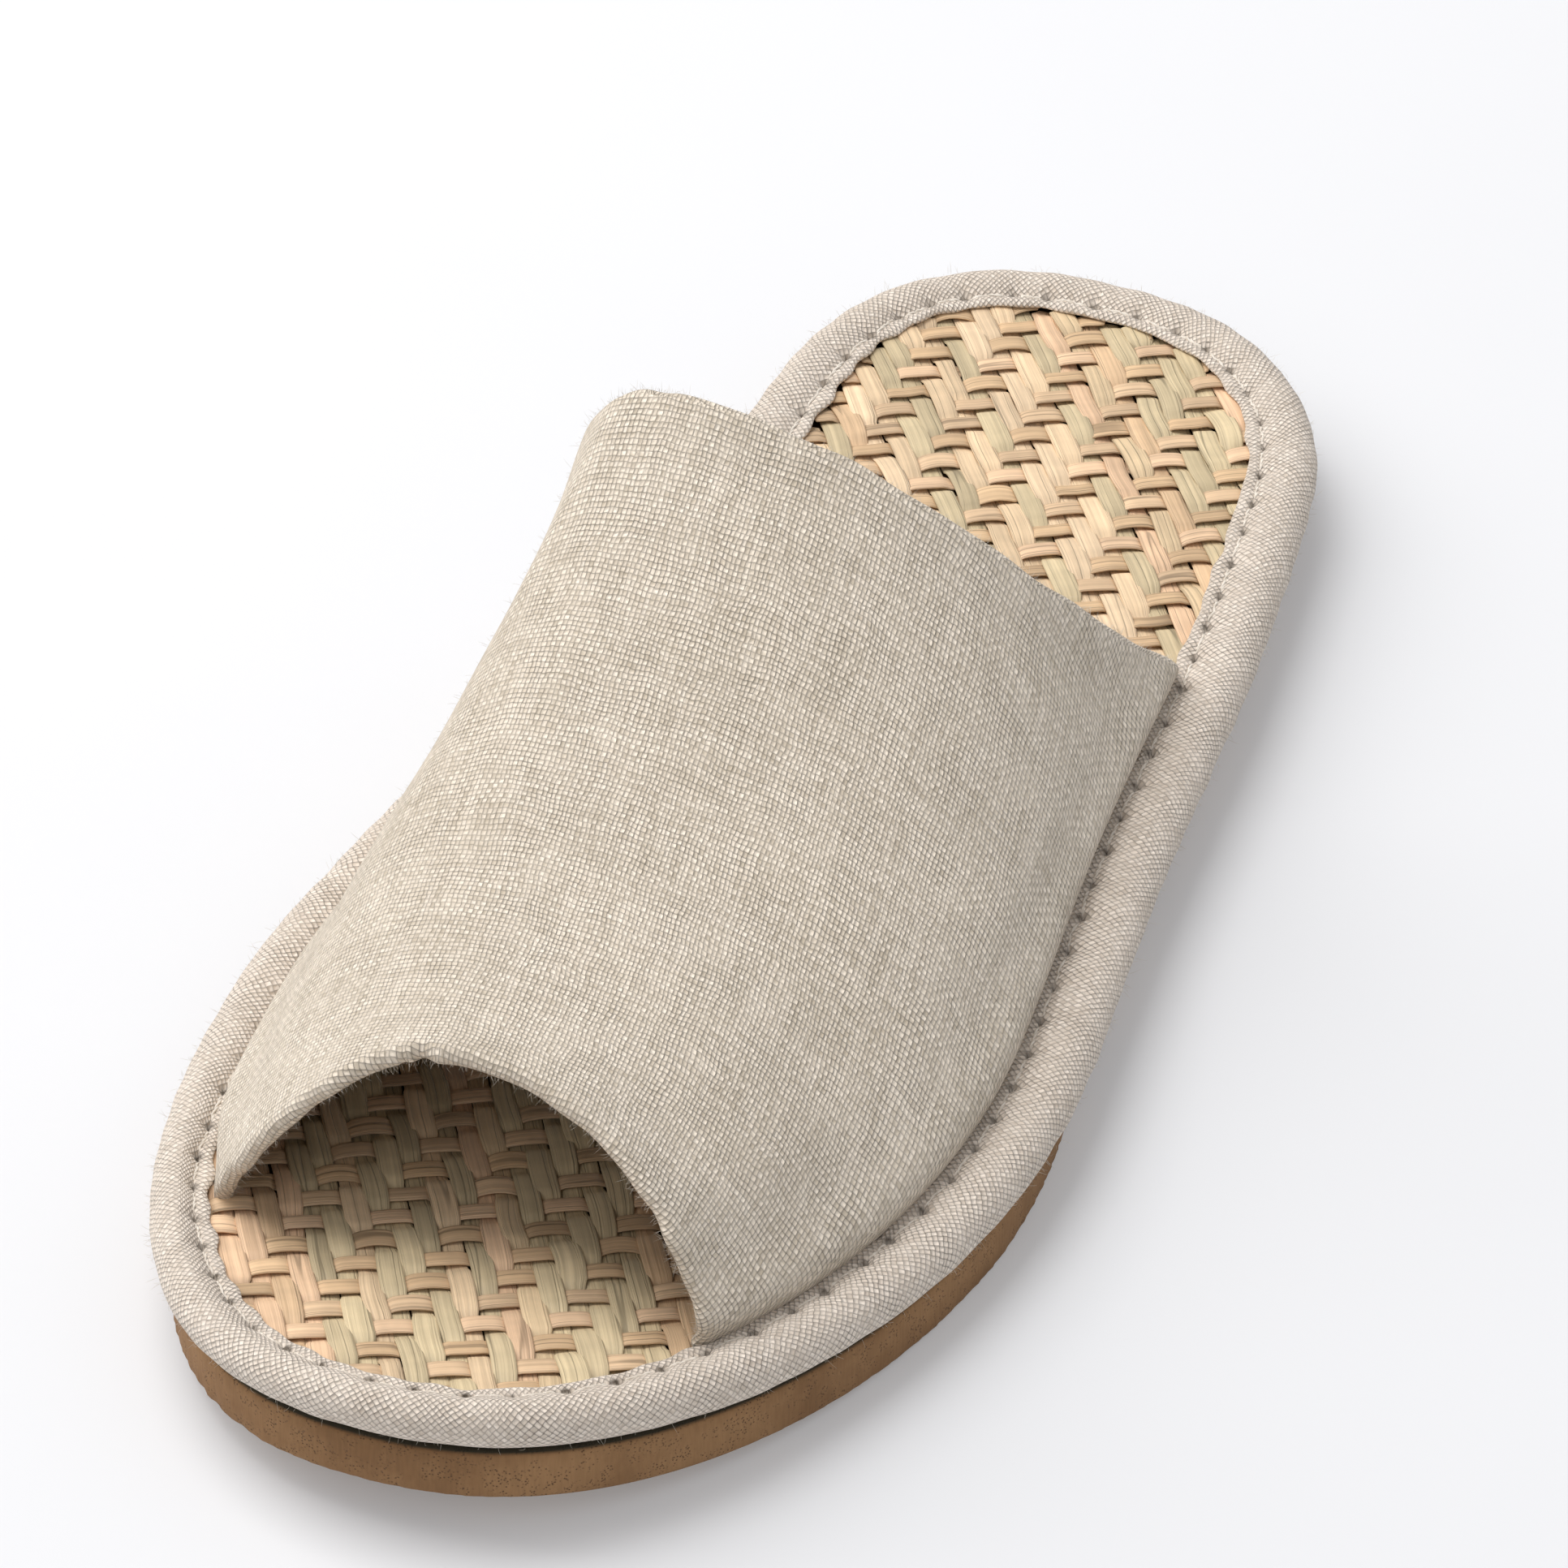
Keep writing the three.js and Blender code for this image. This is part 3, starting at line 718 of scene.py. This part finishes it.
# %% The edging's section and its stitches
STITCH_PITCH = 7.0
STITCH_COUNT = int(round(RIM_LENGTH / STITCH_PITCH))
SEAM_FROM_LIP = 1.9
ROLL_OFF_SOLE = 0.55
TAPE_JOINT_AT = TOE_TIP_AT * 0.44
stitch_random = np.random.default_rng(21)
stitch_number = np.arange(STITCH_COUNT) + stitch_random.normal(0, 0.06, STITCH_COUNT)
stitch_at = stitch_number * RIM_LENGTH / STITCH_COUNT
stitch_pull = stitch_random.uniform(0.6, 1.15, STITCH_COUNT)


def near_stitch(distance, reach):
    """Sum over the stitches of pull times a Gaussian of the distance along the rim to each."""
    away = distance[..., None] - stitch_at
    away = (away + RIM_LENGTH / 2) % RIM_LENGTH - RIM_LENGTH / 2
    return (stitch_pull * np.exp(-((away / reach) ** 2))).sum(-1)


def waviness(distance, seed, longest=40.0, shortest=6.0, count=14):
    """A smooth closed curve round the rim: a sum of sines whose waves fit the rim a whole number of times."""
    random = np.random.default_rng(seed)
    waves = random.integers(int(RIM_LENGTH / longest), int(RIM_LENGTH / shortest), count)
    phase = random.uniform(0, 2 * np.pi, count)
    return np.sin(2 * np.pi * waves * distance[..., None] / RIM_LENGTH + phase).sum(-1) / np.sqrt(count)


def seam_inset(distance):
    """How far the seam lies inside the outline, with a little wander of the hand."""
    return edging_width(distance) - SEAM_FROM_LIP + 0.14 * waviness(distance, 31)


def edging_section(distance):
    """Insets and heights over the board's underside, from the tucked foot out, round the roll, over the
    seam and the lip, and back under it. Rows are places round the rim, columns go across."""
    width = edging_width(distance)[:, None]
    seam = seam_inset(distance)[:, None]
    pull = near_stitch(distance, 0.65)[:, None]
    wide_pull = near_stitch(distance, 2.3)[:, None]
    lip_edge = width + 0.22 * waviness(distance, 33)[:, None] - 0.25 * wide_pull + 0.15
    radius = ROLL_HEIGHT / 2
    tall = radius - ROLL_OFF_SOLE / 2
    angle = np.radians(np.linspace(-90, 90, 23))[None, :]
    swell = 1 + 0.02 * waviness(distance, 35)[:, None]
    roll_inset = radius - radius * swell * np.cos(angle)
    roll_height = ROLL_OFF_SOLE + tall + tall * swell * np.sin(angle)
    slope = np.linspace(0, 1, 13)[None, 1:]
    seam_height = 5.92 - 1.0 * pull
    fall = slope**2 * (3 - 2 * slope)
    shoulder = roll_height[:, -1:] - (roll_height[:, -1:] - seam_height) * (0.25 * slope + 0.75 * slope**3)
    shoulder -= 0.26 * wide_pull * fall
    across = roll_inset[:, -1:] + (seam - roll_inset[:, -1:]) * slope
    over = np.radians(np.linspace(160, -60, 15))[None, 1:]
    lip_middle, lip_half = (seam + lip_edge) / 2, (lip_edge - seam) / 2
    lip_inset = lip_middle + lip_half * np.cos(over)
    crown = 0.5 + 0.08 * waviness(distance, 37)[:, None] - 0.1 * wide_pull
    lip_height = 5.6 + crown * np.sin(over)
    back_inset = np.concatenate([lip_edge - 0.9, 0 * lip_edge + ROLL_WIDTH + 0.5], 1)
    back_height = np.concatenate([0 * lip_edge + 4.9, 0 * lip_edge + 4.6], 1)
    start_inset = 0 * width + ROLL_WIDTH
    insets = np.concatenate([start_inset, roll_inset, across, lip_inset, back_inset], 1)
    heights = np.concatenate([0 * width, roll_height, shoulder, lip_height, back_height], 1)
    return insets, heights


def tape_joint(distance, insets):
    """The folded end of the strip lies 0.55 mm proud: a sharp slanting edge that fades over 16 mm."""
    along = distance[:, None] - TAPE_JOINT_AT - 0.6 * (insets - 4)
    sharp = 1 / (1 + np.exp(-along / 0.25))
    return 0.55 * sharp * np.exp(-np.clip(along, 0, None) / 9)


# %% Making the edging
edging_steps = np.linspace(0, RIM_LENGTH, 1500, endpoint=False)
insets, heights = edging_section(edging_steps)
proud = tape_joint(edging_steps, insets)
across_fade = np.clip((ROLL_WIDTH + 4 - insets) / 4, 0, 1) * np.clip(heights, 0, 1)
insets = insets - proud * across_fade * np.clip((3.5 - insets) / 3.5, 0, 1)
heights = heights + proud * across_fade * np.clip((heights - 3.5) / 3.5, 0, 1)
edging_xy = rim_point(edging_steps[:, None] + 0 * insets, insets)
edging_z = BOARD_BOTTOM + heights + lift(edging_xy[..., 1])
edging_points = np.concatenate([edging_xy, edging_z[..., None]], -1)
rows, columns = edging_points.shape[:2]
faces, cells = grid_faces(rows, columns, close_rows=True, close_columns=True)
across_cloth = np.concatenate([[0], np.cumsum(np.hypot(np.diff(insets.mean(0)), np.diff(heights.mean(0))))])
across_cloth = np.append(across_cloth, across_cloth[-1] + 5)
edging_uv = np.stack([cells[..., 0] * RIM_LENGTH / rows, across_cloth[cells[..., 1]]], -1)
from_seam = (insets - seam_inset(edging_steps)[:, None]) / 0.55
on_top_side = (heights > 4.9) & (np.arange(columns)[None, :] > 20)
# Painted shade for the needle holes: strongest at each stitch, along the seam, on the top of the edging only.
needle_hole = 1.1 * near_stitch(edging_steps, 0.6)[:, None] * np.exp(-(from_seam**2)) * on_top_side
edging = add_mesh("edging", edging_points.reshape(-1, 3), faces[:, ::-1], EDGING_LINEN,
                  edging_uv[:, ::-1], "edging_linen", hole=np.clip(needle_hole, 0, 1))
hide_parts("binding")

# %% [markdown]
# ## The sewing thread
#
# Between two holes the thread lies in the crease as a short fat stitch of two twisted strands. One stitch
# is a small tube of few faces, and all of them are placed at once along the seam.

# %% Making the stitches
def tubes(name, centres, radii, material, slot, sides=6):
    """Many tubes at once. centres is tubes x steps x 3, radii tubes x steps, and the ends are closed by a
    radius near 0. The section turns in the plane across each tube's own direction."""
    ahead = np.gradient(centres, axis=1)
    ahead /= np.linalg.norm(ahead, axis=-1, keepdims=True)
    up = np.broadcast_to(np.array([0.31, 0.22, 0.92]), ahead.shape)
    side = np.cross(ahead, up)
    side /= np.linalg.norm(side, axis=-1, keepdims=True)
    top = np.cross(side, ahead)
    angle = 2 * np.pi * np.arange(sides) / sides
    ring = side[:, :, None] * np.cos(angle)[:, None] + top[:, :, None] * np.sin(angle)[:, None]
    points = centres[:, :, None] + ring * radii[:, :, None, None]
    count, steps = centres.shape[:2]
    faces, cells = grid_faces(steps, sides, close_columns=True)
    offsets = np.arange(count)[:, None, None] * steps * sides
    all_faces = (faces[None] + offsets).reshape(-1, 4)
    all_cells = np.broadcast_to(cells[None], (count, *cells.shape)).reshape(-1, 4, 2).astype(float)
    return add_mesh(name, points.reshape(-1, 3), all_faces, material, all_cells, slot)


steps = np.linspace(0, 1, 15)
next_at = np.append(stitch_at[1:], stitch_at[0] + RIM_LENGTH)
strands = []
for strand in (0, np.pi):
    at = stitch_at[:, None] + 0.3 + (next_at - stitch_at - 0.6)[:, None] * steps
    twist = 2 * np.pi * 2.2 * steps[None, :] + strand + stitch_random.uniform(0, 3, (STITCH_COUNT, 1))
    inset = seam_inset(at.ravel()).reshape(at.shape) + 0.13 * np.cos(twist)
    xy = rim_point(at, inset)
    sink = 1.3 * (np.exp(-((steps / 0.12) ** 2)) + np.exp(-(((1 - steps) / 0.12) ** 2)))
    z = BOARD_BOTTOM + 5.86 + 0.1 * np.sin(twist) - sink + lift(xy[..., 1])
    strands.append(np.concatenate([xy, z[..., None]], -1))
stitch_centres = np.concatenate(strands)
STRAND_RADIUS = 0.16
stitch_radius = np.full(stitch_centres.shape[:2], STRAND_RADIUS)
stitch_radius[:, [0, -1]] = 0.01
tubes("stitches", stitch_centres, stitch_radius, THREAD, "edging_linen")

# %% [markdown]
# ## The upper
#
# One lined band of linen. Its surface is a function of two shares: along, from the collar to the toe
# opening, and around, from the little-toe side over the arch to the big-toe side. Each half of the arch
# is a quarter superellipse from the base line to the crest. The cloth has a real wall, so the surface is
# run once outside, rolled round the free edge, back as the lining, and rolled round the other edge. The
# main folds are placed one by one, because a simulated cloth would lose the shape of the two openings. The
# toe edge lies where it does when worn, up to 3 mm off its plain form, and dips in a small pucker.

# %% Sizes of the upper
UPPER_WALL = 2.4
COLLAR_HEIGHT, TOE_OPENING_HEIGHT, SADDLE_DIP = 48.2, 28.4, 8.7
COLLAR_SIDES, TOE_SIDES = (-51.4, -45.2), (98.3, 93.1)
COLLAR_CURVE, TOE_CURVE = (30.8, 1.4, 4.3), (-3.7, -2.4, 3.2)
ARCH_COLLAR = {"crest": 0.67, "outer_round": 1.02, "big_toe_round": 0.88, "outer_bulge": 0.05,
               "big_toe_bulge": 0.165}
ARCH_TOE = {"crest": 0.14, "outer_round": 1.05, "big_toe_round": 1.05, "outer_bulge": 0.04,
            "big_toe_bulge": -0.08}


def edge_y(sides, curve, around):
    """A free edge in plan: straight from side to side plus sines of half, one and one and a half waves."""
    angle = np.pi * around
    waves = curve[0] * np.sin(angle) + curve[1] * np.sin(2 * angle) + curve[2] * np.sin(3 * angle)
    return sides[0] + (sides[1] - sides[0]) * around + waves


def base_x(side, y, inset):
    """The outline's x, moved in so that the inset is measured at a right angle to the outline."""
    slope = side_x(side, y + 0.5) - side_x(side, y - 0.5)
    return side_x(side, y) - side * inset * np.hypot(1, slope)


def upper_surface(along, around):
    """Outer surface of the cloth before folds: x from base to crest by cos^round, height by sin^round."""
    angle = np.pi * np.clip(around, 0, 1)
    collar, toe = edge_y(COLLAR_SIDES, COLLAR_CURVE, around), edge_y(TOE_SIDES, TOE_CURVE, around)
    y = collar + (toe - collar) * along
    inset = binding_width(y) + LIP_GAP
    low, high = base_x(OUTER, y, inset), base_x(BIG_TOE, y, inset - corner(y))
    middle, half = (low + high) / 2, (high - low) / 2
    blend = {key: ARCH_COLLAR[key] + (ARCH_TOE[key] - ARCH_COLLAR[key]) * along for key in ARCH_COLLAR}
    outer = around <= 0.5
    power = np.where(outer, blend["outer_round"], blend["big_toe_round"])
    reach = np.abs(np.cos(angle)) ** power
    rise = np.abs(np.sin(angle)) ** power
    bulge = half * np.where(outer, blend["outer_bulge"], blend["big_toe_bulge"]) * np.abs(np.sin(2 * angle))
    crest = middle + half * blend["crest"]
    x = np.where(outer, crest - (crest - low) * reach - bulge, crest + (high - crest) * reach + bulge)
    height = COLLAR_HEIGHT + (TOE_OPENING_HEIGHT - COLLAR_HEIGHT) * along
    height = height - SADDLE_DIP * 4 * along * (1 - along)
    return np.stack([x, y, MAT_TOP + height * rise + lift(y)], -1)


def upper_normal(along, around):
    """Unit normal out of the shoe: the way across the arch times the way along it."""
    step = 1e-3
    a, u = np.clip(along, step, 1 - step), np.clip(around, 0.004, 0.996)
    across = upper_surface(a, u + step) - upper_surface(a, u - step)
    lengthwise = upper_surface(a + step, u) - upper_surface(a - step, u)
    normal = np.cross(across, lengthwise)
    return normal / np.linalg.norm(normal, axis=-1, keepdims=True)


# %% Soft folds, placed one by one
SOFT_FOLDS = [
    {"start": (0.07, 0.12), "end": (0.05, 0.42), "width": 0.045, "depth": -0.9},
    {"start": (0.2, 0.08), "end": (0.42, 0.13), "width": 0.06, "depth": 0.8},
    {"start": (0.12, 0.3), "end": (0.5, 0.36), "width": 0.07, "depth": -0.45},
    {"start": (0.35, 0.55), "end": (0.8, 0.5), "width": 0.08, "depth": 0.4},
    {"start": (0.6, 0.2), "end": (0.9, 0.28), "width": 0.06, "depth": -0.35},
    {"start": (0.1, 0.75), "end": (0.5, 0.8), "width": 0.07, "depth": -0.6},
    {"start": (0.02, 0.6), "end": (0.2, 0.66), "width": 0.04, "depth": 0.5},
]


def folds(along, around):
    """Height of all soft folds: depth times a Gaussian of the distance from a line in (along, around)."""
    total = np.zeros(np.broadcast(along, around).shape)
    for fold in SOFT_FOLDS:
        start, end = np.array(fold["start"]), np.array(fold["end"])
        line = end - start
        share = np.clip(((along - start[0]) * line[0] + (around - start[1]) * line[1]) / (line @ line), 0, 1)
        away = np.hypot(along - start[0] - share * line[0], around - start[1] - share * line[1])
        total += fold["depth"] * np.exp(-((away / fold["width"]) ** 2))
    return total


def ripples(along, around):
    """Small uneven waves of soft cloth, from sines that cross each other."""
    random = np.random.default_rng(41)
    total = 0
    for _ in range(16):
        rate_along, rate_around = random.uniform(4, 26, 2)
        total = total + np.sin(rate_along * along + rate_around * around + random.uniform(0, 6.3))
    return 0.045 * total


# %% Making the upper
BAND_LENGTH = 138.0
around = np.concatenate([[0.0], np.linspace(0.0, 1.0, 261), [1.0]])
roll = UPPER_WALL / 2
roll_angle = np.radians(np.linspace(-90, 90, 9))[1:-1]
inner_along = roll / BAND_LENGTH
run = np.linspace(inner_along, 1 - inner_along, 140)
roll_out = inner_along * np.cos(roll_angle)
section_along = np.concatenate([run, 1 - inner_along + roll_out, run[::-1], inner_along - roll_out])
section_depth = np.concatenate([0 * run, roll + roll * np.sin(roll_angle), 0 * run + UPPER_WALL,
                                roll - roll * np.sin(roll_angle)])
along_grid, around_grid = np.broadcast_arrays(section_along[:, None], around[None, :])
edge_wave = 0.0012 * np.sin(around_grid * 61 + 1.0) + 0.0008 * np.sin(around_grid * 97)
NOTCHES = [(0.545, 0.0075, 0.013), (0.575, 0.006, 0.009), (0.51, -0.006, 0.02)]
notched = sum(depth * np.exp(-(((around_grid - at) / width) ** 2)) for at, depth, width in NOTCHES)
near_toe = np.exp(-(((1 - along_grid) / 0.05) ** 2))
near_collar = np.exp(-((along_grid / 0.05) ** 2))
open_corner = np.exp(-(((1 - along_grid) / 0.09) ** 2)) * (around_grid > 0.5)
moved_along = along_grid - (edge_wave + notched) * near_toe + edge_wave * near_collar
outside = upper_surface(moved_along, around_grid)
normal = upper_normal(moved_along, around_grid)
base_height = outside[..., 2] - MAT_TOP - lift(outside[..., 1])
free = np.clip(base_height / 12, 0, 1)
shape = (folds(along_grid, around_grid) + ripples(along_grid, around_grid)) * free
PUFF, PUFF_AT, PUFF_REACH = 2.1, 4.0, 3.8
shape += PUFF * np.exp(-(((base_height - PUFF_AT) / PUFF_REACH) ** 2)) * (1 - 0.9 * open_corner)
shape += 0.3 * near_toe * free + 0.2 * near_collar * free
upper_points = outside + normal * (shape - section_depth[:, None])[..., None]
TUCKED_UNDER = 1.6
upper_points[:, [0, -1], 2] -= TUCKED_UNDER
rows, columns = upper_points.shape[:2]
faces, cells = grid_faces(rows, columns, close_rows=True)
across_steps = np.hypot(*np.moveaxis(np.diff(outside[..., [0, 2]], axis=1), -1, 0))
over_arch = np.concatenate([np.zeros((rows, 1)), np.cumsum(across_steps, 1)], 1)
over_arch -= over_arch[:, [columns // 2]]
ahead_steps = np.linalg.norm(np.diff(upper_points, axis=0, append=upper_points[:1]), axis=-1)
from_collar = np.concatenate([0 * ahead_steps[:1], np.cumsum(ahead_steps, 0)]) + outside[:1, :, 1]
over_arch = np.concatenate([over_arch, over_arch[:1]])
upper_uv = np.stack([over_arch, from_collar], -1)[cells[..., 0], cells[..., 1]]
upper = add_mesh("upper_band", upper_points.reshape(-1, 3), faces, UPPER_LINEN, upper_uv, "upper_linen")
upper.data.materials.append(LINING_LINEN_SHADED)
is_lining = section_depth[faces[:, 0] // columns] > UPPER_WALL * 0.98
upper.data.polygons.foreach_set("material_index", is_lining.astype(np.int32))
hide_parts("upper")

# %% [markdown]
# ## Loose fibres
#
# Worn linen is covered in short bent hairs, seen best against a dark ground: along the edging, at the two
# free edges of the band, and as lint in the gap over the sole. A hair is a three-sided tube of few faces,
# so that a thousand of them stay light.

# %% Making the fibres
def fibres(name, base, outwards, shortest, longest, thickness, slot, seed):
    """Bent hairs: base + length * (outwards * s + random bend * s^2), for s from 0 to 1."""
    random = np.random.default_rng(seed)
    outwards = outwards / np.linalg.norm(outwards, axis=1, keepdims=True)
    length = random.uniform(shortest, longest, (len(base), 1, 1))
    s = np.linspace(0, 1, 5)[None, :, None]
    bend = random.normal(0, 0.5, (len(base), 1, 3))
    line = base[:, None] + length * (outwards[:, None] * s + bend * s**2)
    radius = np.broadcast_to(thickness * np.array([0.1, 1.0, 1.0, 0.8, 0.1]), line.shape[:2]).copy()
    return tubes(name, line, radius, LINT, slot, sides=3)


fibre_random = np.random.default_rng(51)


def edging_hairs(count, low_angle, high_angle):
    """Random places on the roll, by distance round the rim and angle up the roll, and the ways out."""
    at = fibre_random.uniform(0, RIM_LENGTH, count)
    angle = np.radians(fibre_random.uniform(low_angle, high_angle, count))
    radius, foot = ROLL_HEIGHT / 2, ROLL_OFF_SOLE / 2
    xy = rim_point(at, radius - radius * np.cos(angle))
    out_xy = rim_point(at, 0 * at) - rim_point(at, 0 * at + 1.0)
    z = BOARD_BOTTOM + foot + radius + (radius - foot) * np.sin(angle) + lift(xy[:, 1])
    way = np.column_stack([out_xy * np.cos(angle)[:, None], np.sin(angle)])
    return np.column_stack([xy, z]), way


fibres("edging_fibres", *edging_hairs(1800, -35, 90), 0.3, 1.0, 0.018, "edging_linen", 52)
fibres("gap_lint", *edging_hairs(110, -85, -50), 0.4, 1.3, 0.018, "edging_linen", 53)

EDGE_HAIRS, BAND_HAIRS = 1100, 1600
last_out, first_in = len(run) - 1, len(run) + len(roll_out)
hair_columns = fibre_random.integers(4, columns - 4, EDGE_HAIRS)
toe_rows = fibre_random.integers(last_out, first_in + 1, EDGE_HAIRS)
collar_rows = fibre_random.integers(first_in + len(run) - 1, rows, EDGE_HAIRS)
toe_middle = (upper_points[last_out] + upper_points[first_in]) / 2
collar_middle = (upper_points[0] + upper_points[first_in + len(run) - 1]) / 2
edge_hairs = np.concatenate([upper_points[toe_rows, hair_columns], upper_points[collar_rows, hair_columns]])
edge_ways = edge_hairs - np.concatenate([toe_middle[hair_columns], collar_middle[hair_columns]])
fibres("edge_fibres", edge_hairs, edge_ways, 0.25, 0.9, 0.017, "upper_linen", 54)
skin = fibre_random.integers(0, last_out, BAND_HAIRS), fibre_random.integers(4, columns - 4, BAND_HAIRS)
fibres("band_fibres", upper_points[skin], normal[skin], 0.3, 0.9, 0.018, "upper_linen", 55)

# %% [markdown]
# ## Floor, light and camera
#
# The shoe stands on a pale floor. Most light comes from overhead and from the upper left of the picture,
# with weak light from the front and a cooler one from the right, which keeps the shaded side clear. The
# camera keeps the photograph's place and angle, and its lens is long enough for the one shoe to fill the
# frame. The powers were matched to the photograph.

# %% The floor
FLOOR_HEIGHT = -0.0001


def make_floor():
    """A wide plane, 0.1 mm under the sole so that the two don't flicker. It glows a little, as a lit table
    does, which keeps the shadow light, and it is clear from below, so that the sole can be seen."""
    material, tree, shader = new_material("pale floor")
    cloud = group_node(tree, MOTTLE, Place=object_place(tree), Size=2.0).outputs[0]
    colour = mix_colour(tree, ramp(tree, cloud, 0.3, 0.7), srgb(203, 204, 206), srgb(207, 208, 210))
    tree.links.new(colour, shader.inputs["Base Color"])
    set_finish(shader, Roughness=0.8, Emission_Color=(0.99, 0.99, 1.0, 1.0), Emission_Strength=0.19)
    below = put(tree, "ShaderNodeNewGeometry").outputs["Backfacing"]
    clear = put(tree, "ShaderNodeBsdfTransparent").outputs[0]
    either = put(tree, "ShaderNodeMixShader", {0: below, 1: shader.outputs[0], 2: clear}).outputs[0]
    tree.links.new(either, tree.nodes["Material Output"].inputs["Surface"])
    mesh = bpy.data.meshes.new("floor")
    corners = [(x, y, FLOOR_HEIGHT) for x, y in ((-4, -4), (4, -4), (4, 4), (-4, 4))]
    mesh.from_pydata(corners, [], [(0, 1, 2, 3)])
    mesh.materials.append(material)
    floor = bpy.data.objects.new("floor", mesh)
    bpy.context.scene.collection.objects.link(floor)


make_floor()


# %% Lights and camera
def aim(thing, target):
    """Turns an object so that its -Z axis points at the target."""
    thing.rotation_mode = "QUATERNION"
    thing.rotation_quaternion = (Vector(target) - thing.location).to_track_quat("-Z", "Y")


def area_light(name, place, size, power, colour):
    """A square soft light aimed at the shoe."""
    light = bpy.data.lights.new(name, "AREA")
    light.size, light.energy, light.color = size, power, colour
    made = bpy.data.objects.new(name, light)
    made.location = place
    bpy.context.scene.collection.objects.link(made)
    aim(made, (0.0, 0.0, 0.03))


LIGHTS = [
    {"name": "overhead", "place": (0.4, -0.05, 1.55), "size": 0.9, "power": 14.0,
     "colour": (1.0, 0.98, 0.965)},
    {"name": "left", "place": (1.25, -0.2, 0.95), "size": 1.3, "power": 15.2, "colour": (1.0, 0.98, 0.96)},
    {"name": "front", "place": (0.3, 1.4, 1.1), "size": 0.9, "power": 3.0, "colour": (1.0, 0.985, 0.98)},
    {"name": "right", "place": (-1.3, 0.3, 0.9), "size": 1.6, "power": 2.3, "colour": (0.95, 0.975, 1.0)},
]
for row in LIGHTS:
    area_light(**row)

world = bpy.data.worlds.new("studio")
world.use_nodes = True
sky = world.node_tree.nodes["Background"].inputs
sky["Color"].default_value, sky["Strength"].default_value = (0.94, 0.955, 1.0, 1.0), 0.4
bpy.context.scene.world = world
bpy.context.scene.view_settings.view_transform = "Standard"

camera_data = bpy.data.cameras.new("camera")
camera_data.lens, camera_data.sensor_width = 285.0, 36.0
camera_data.clip_end = 20.0
camera = bpy.data.objects.new("camera", camera_data)
camera.location = (-0.45403, 1.14377, 0.95973)
bpy.context.scene.collection.objects.link(camera)
aim(camera, (0.0, 0.0, 0.021))
bpy.context.scene.camera = camera
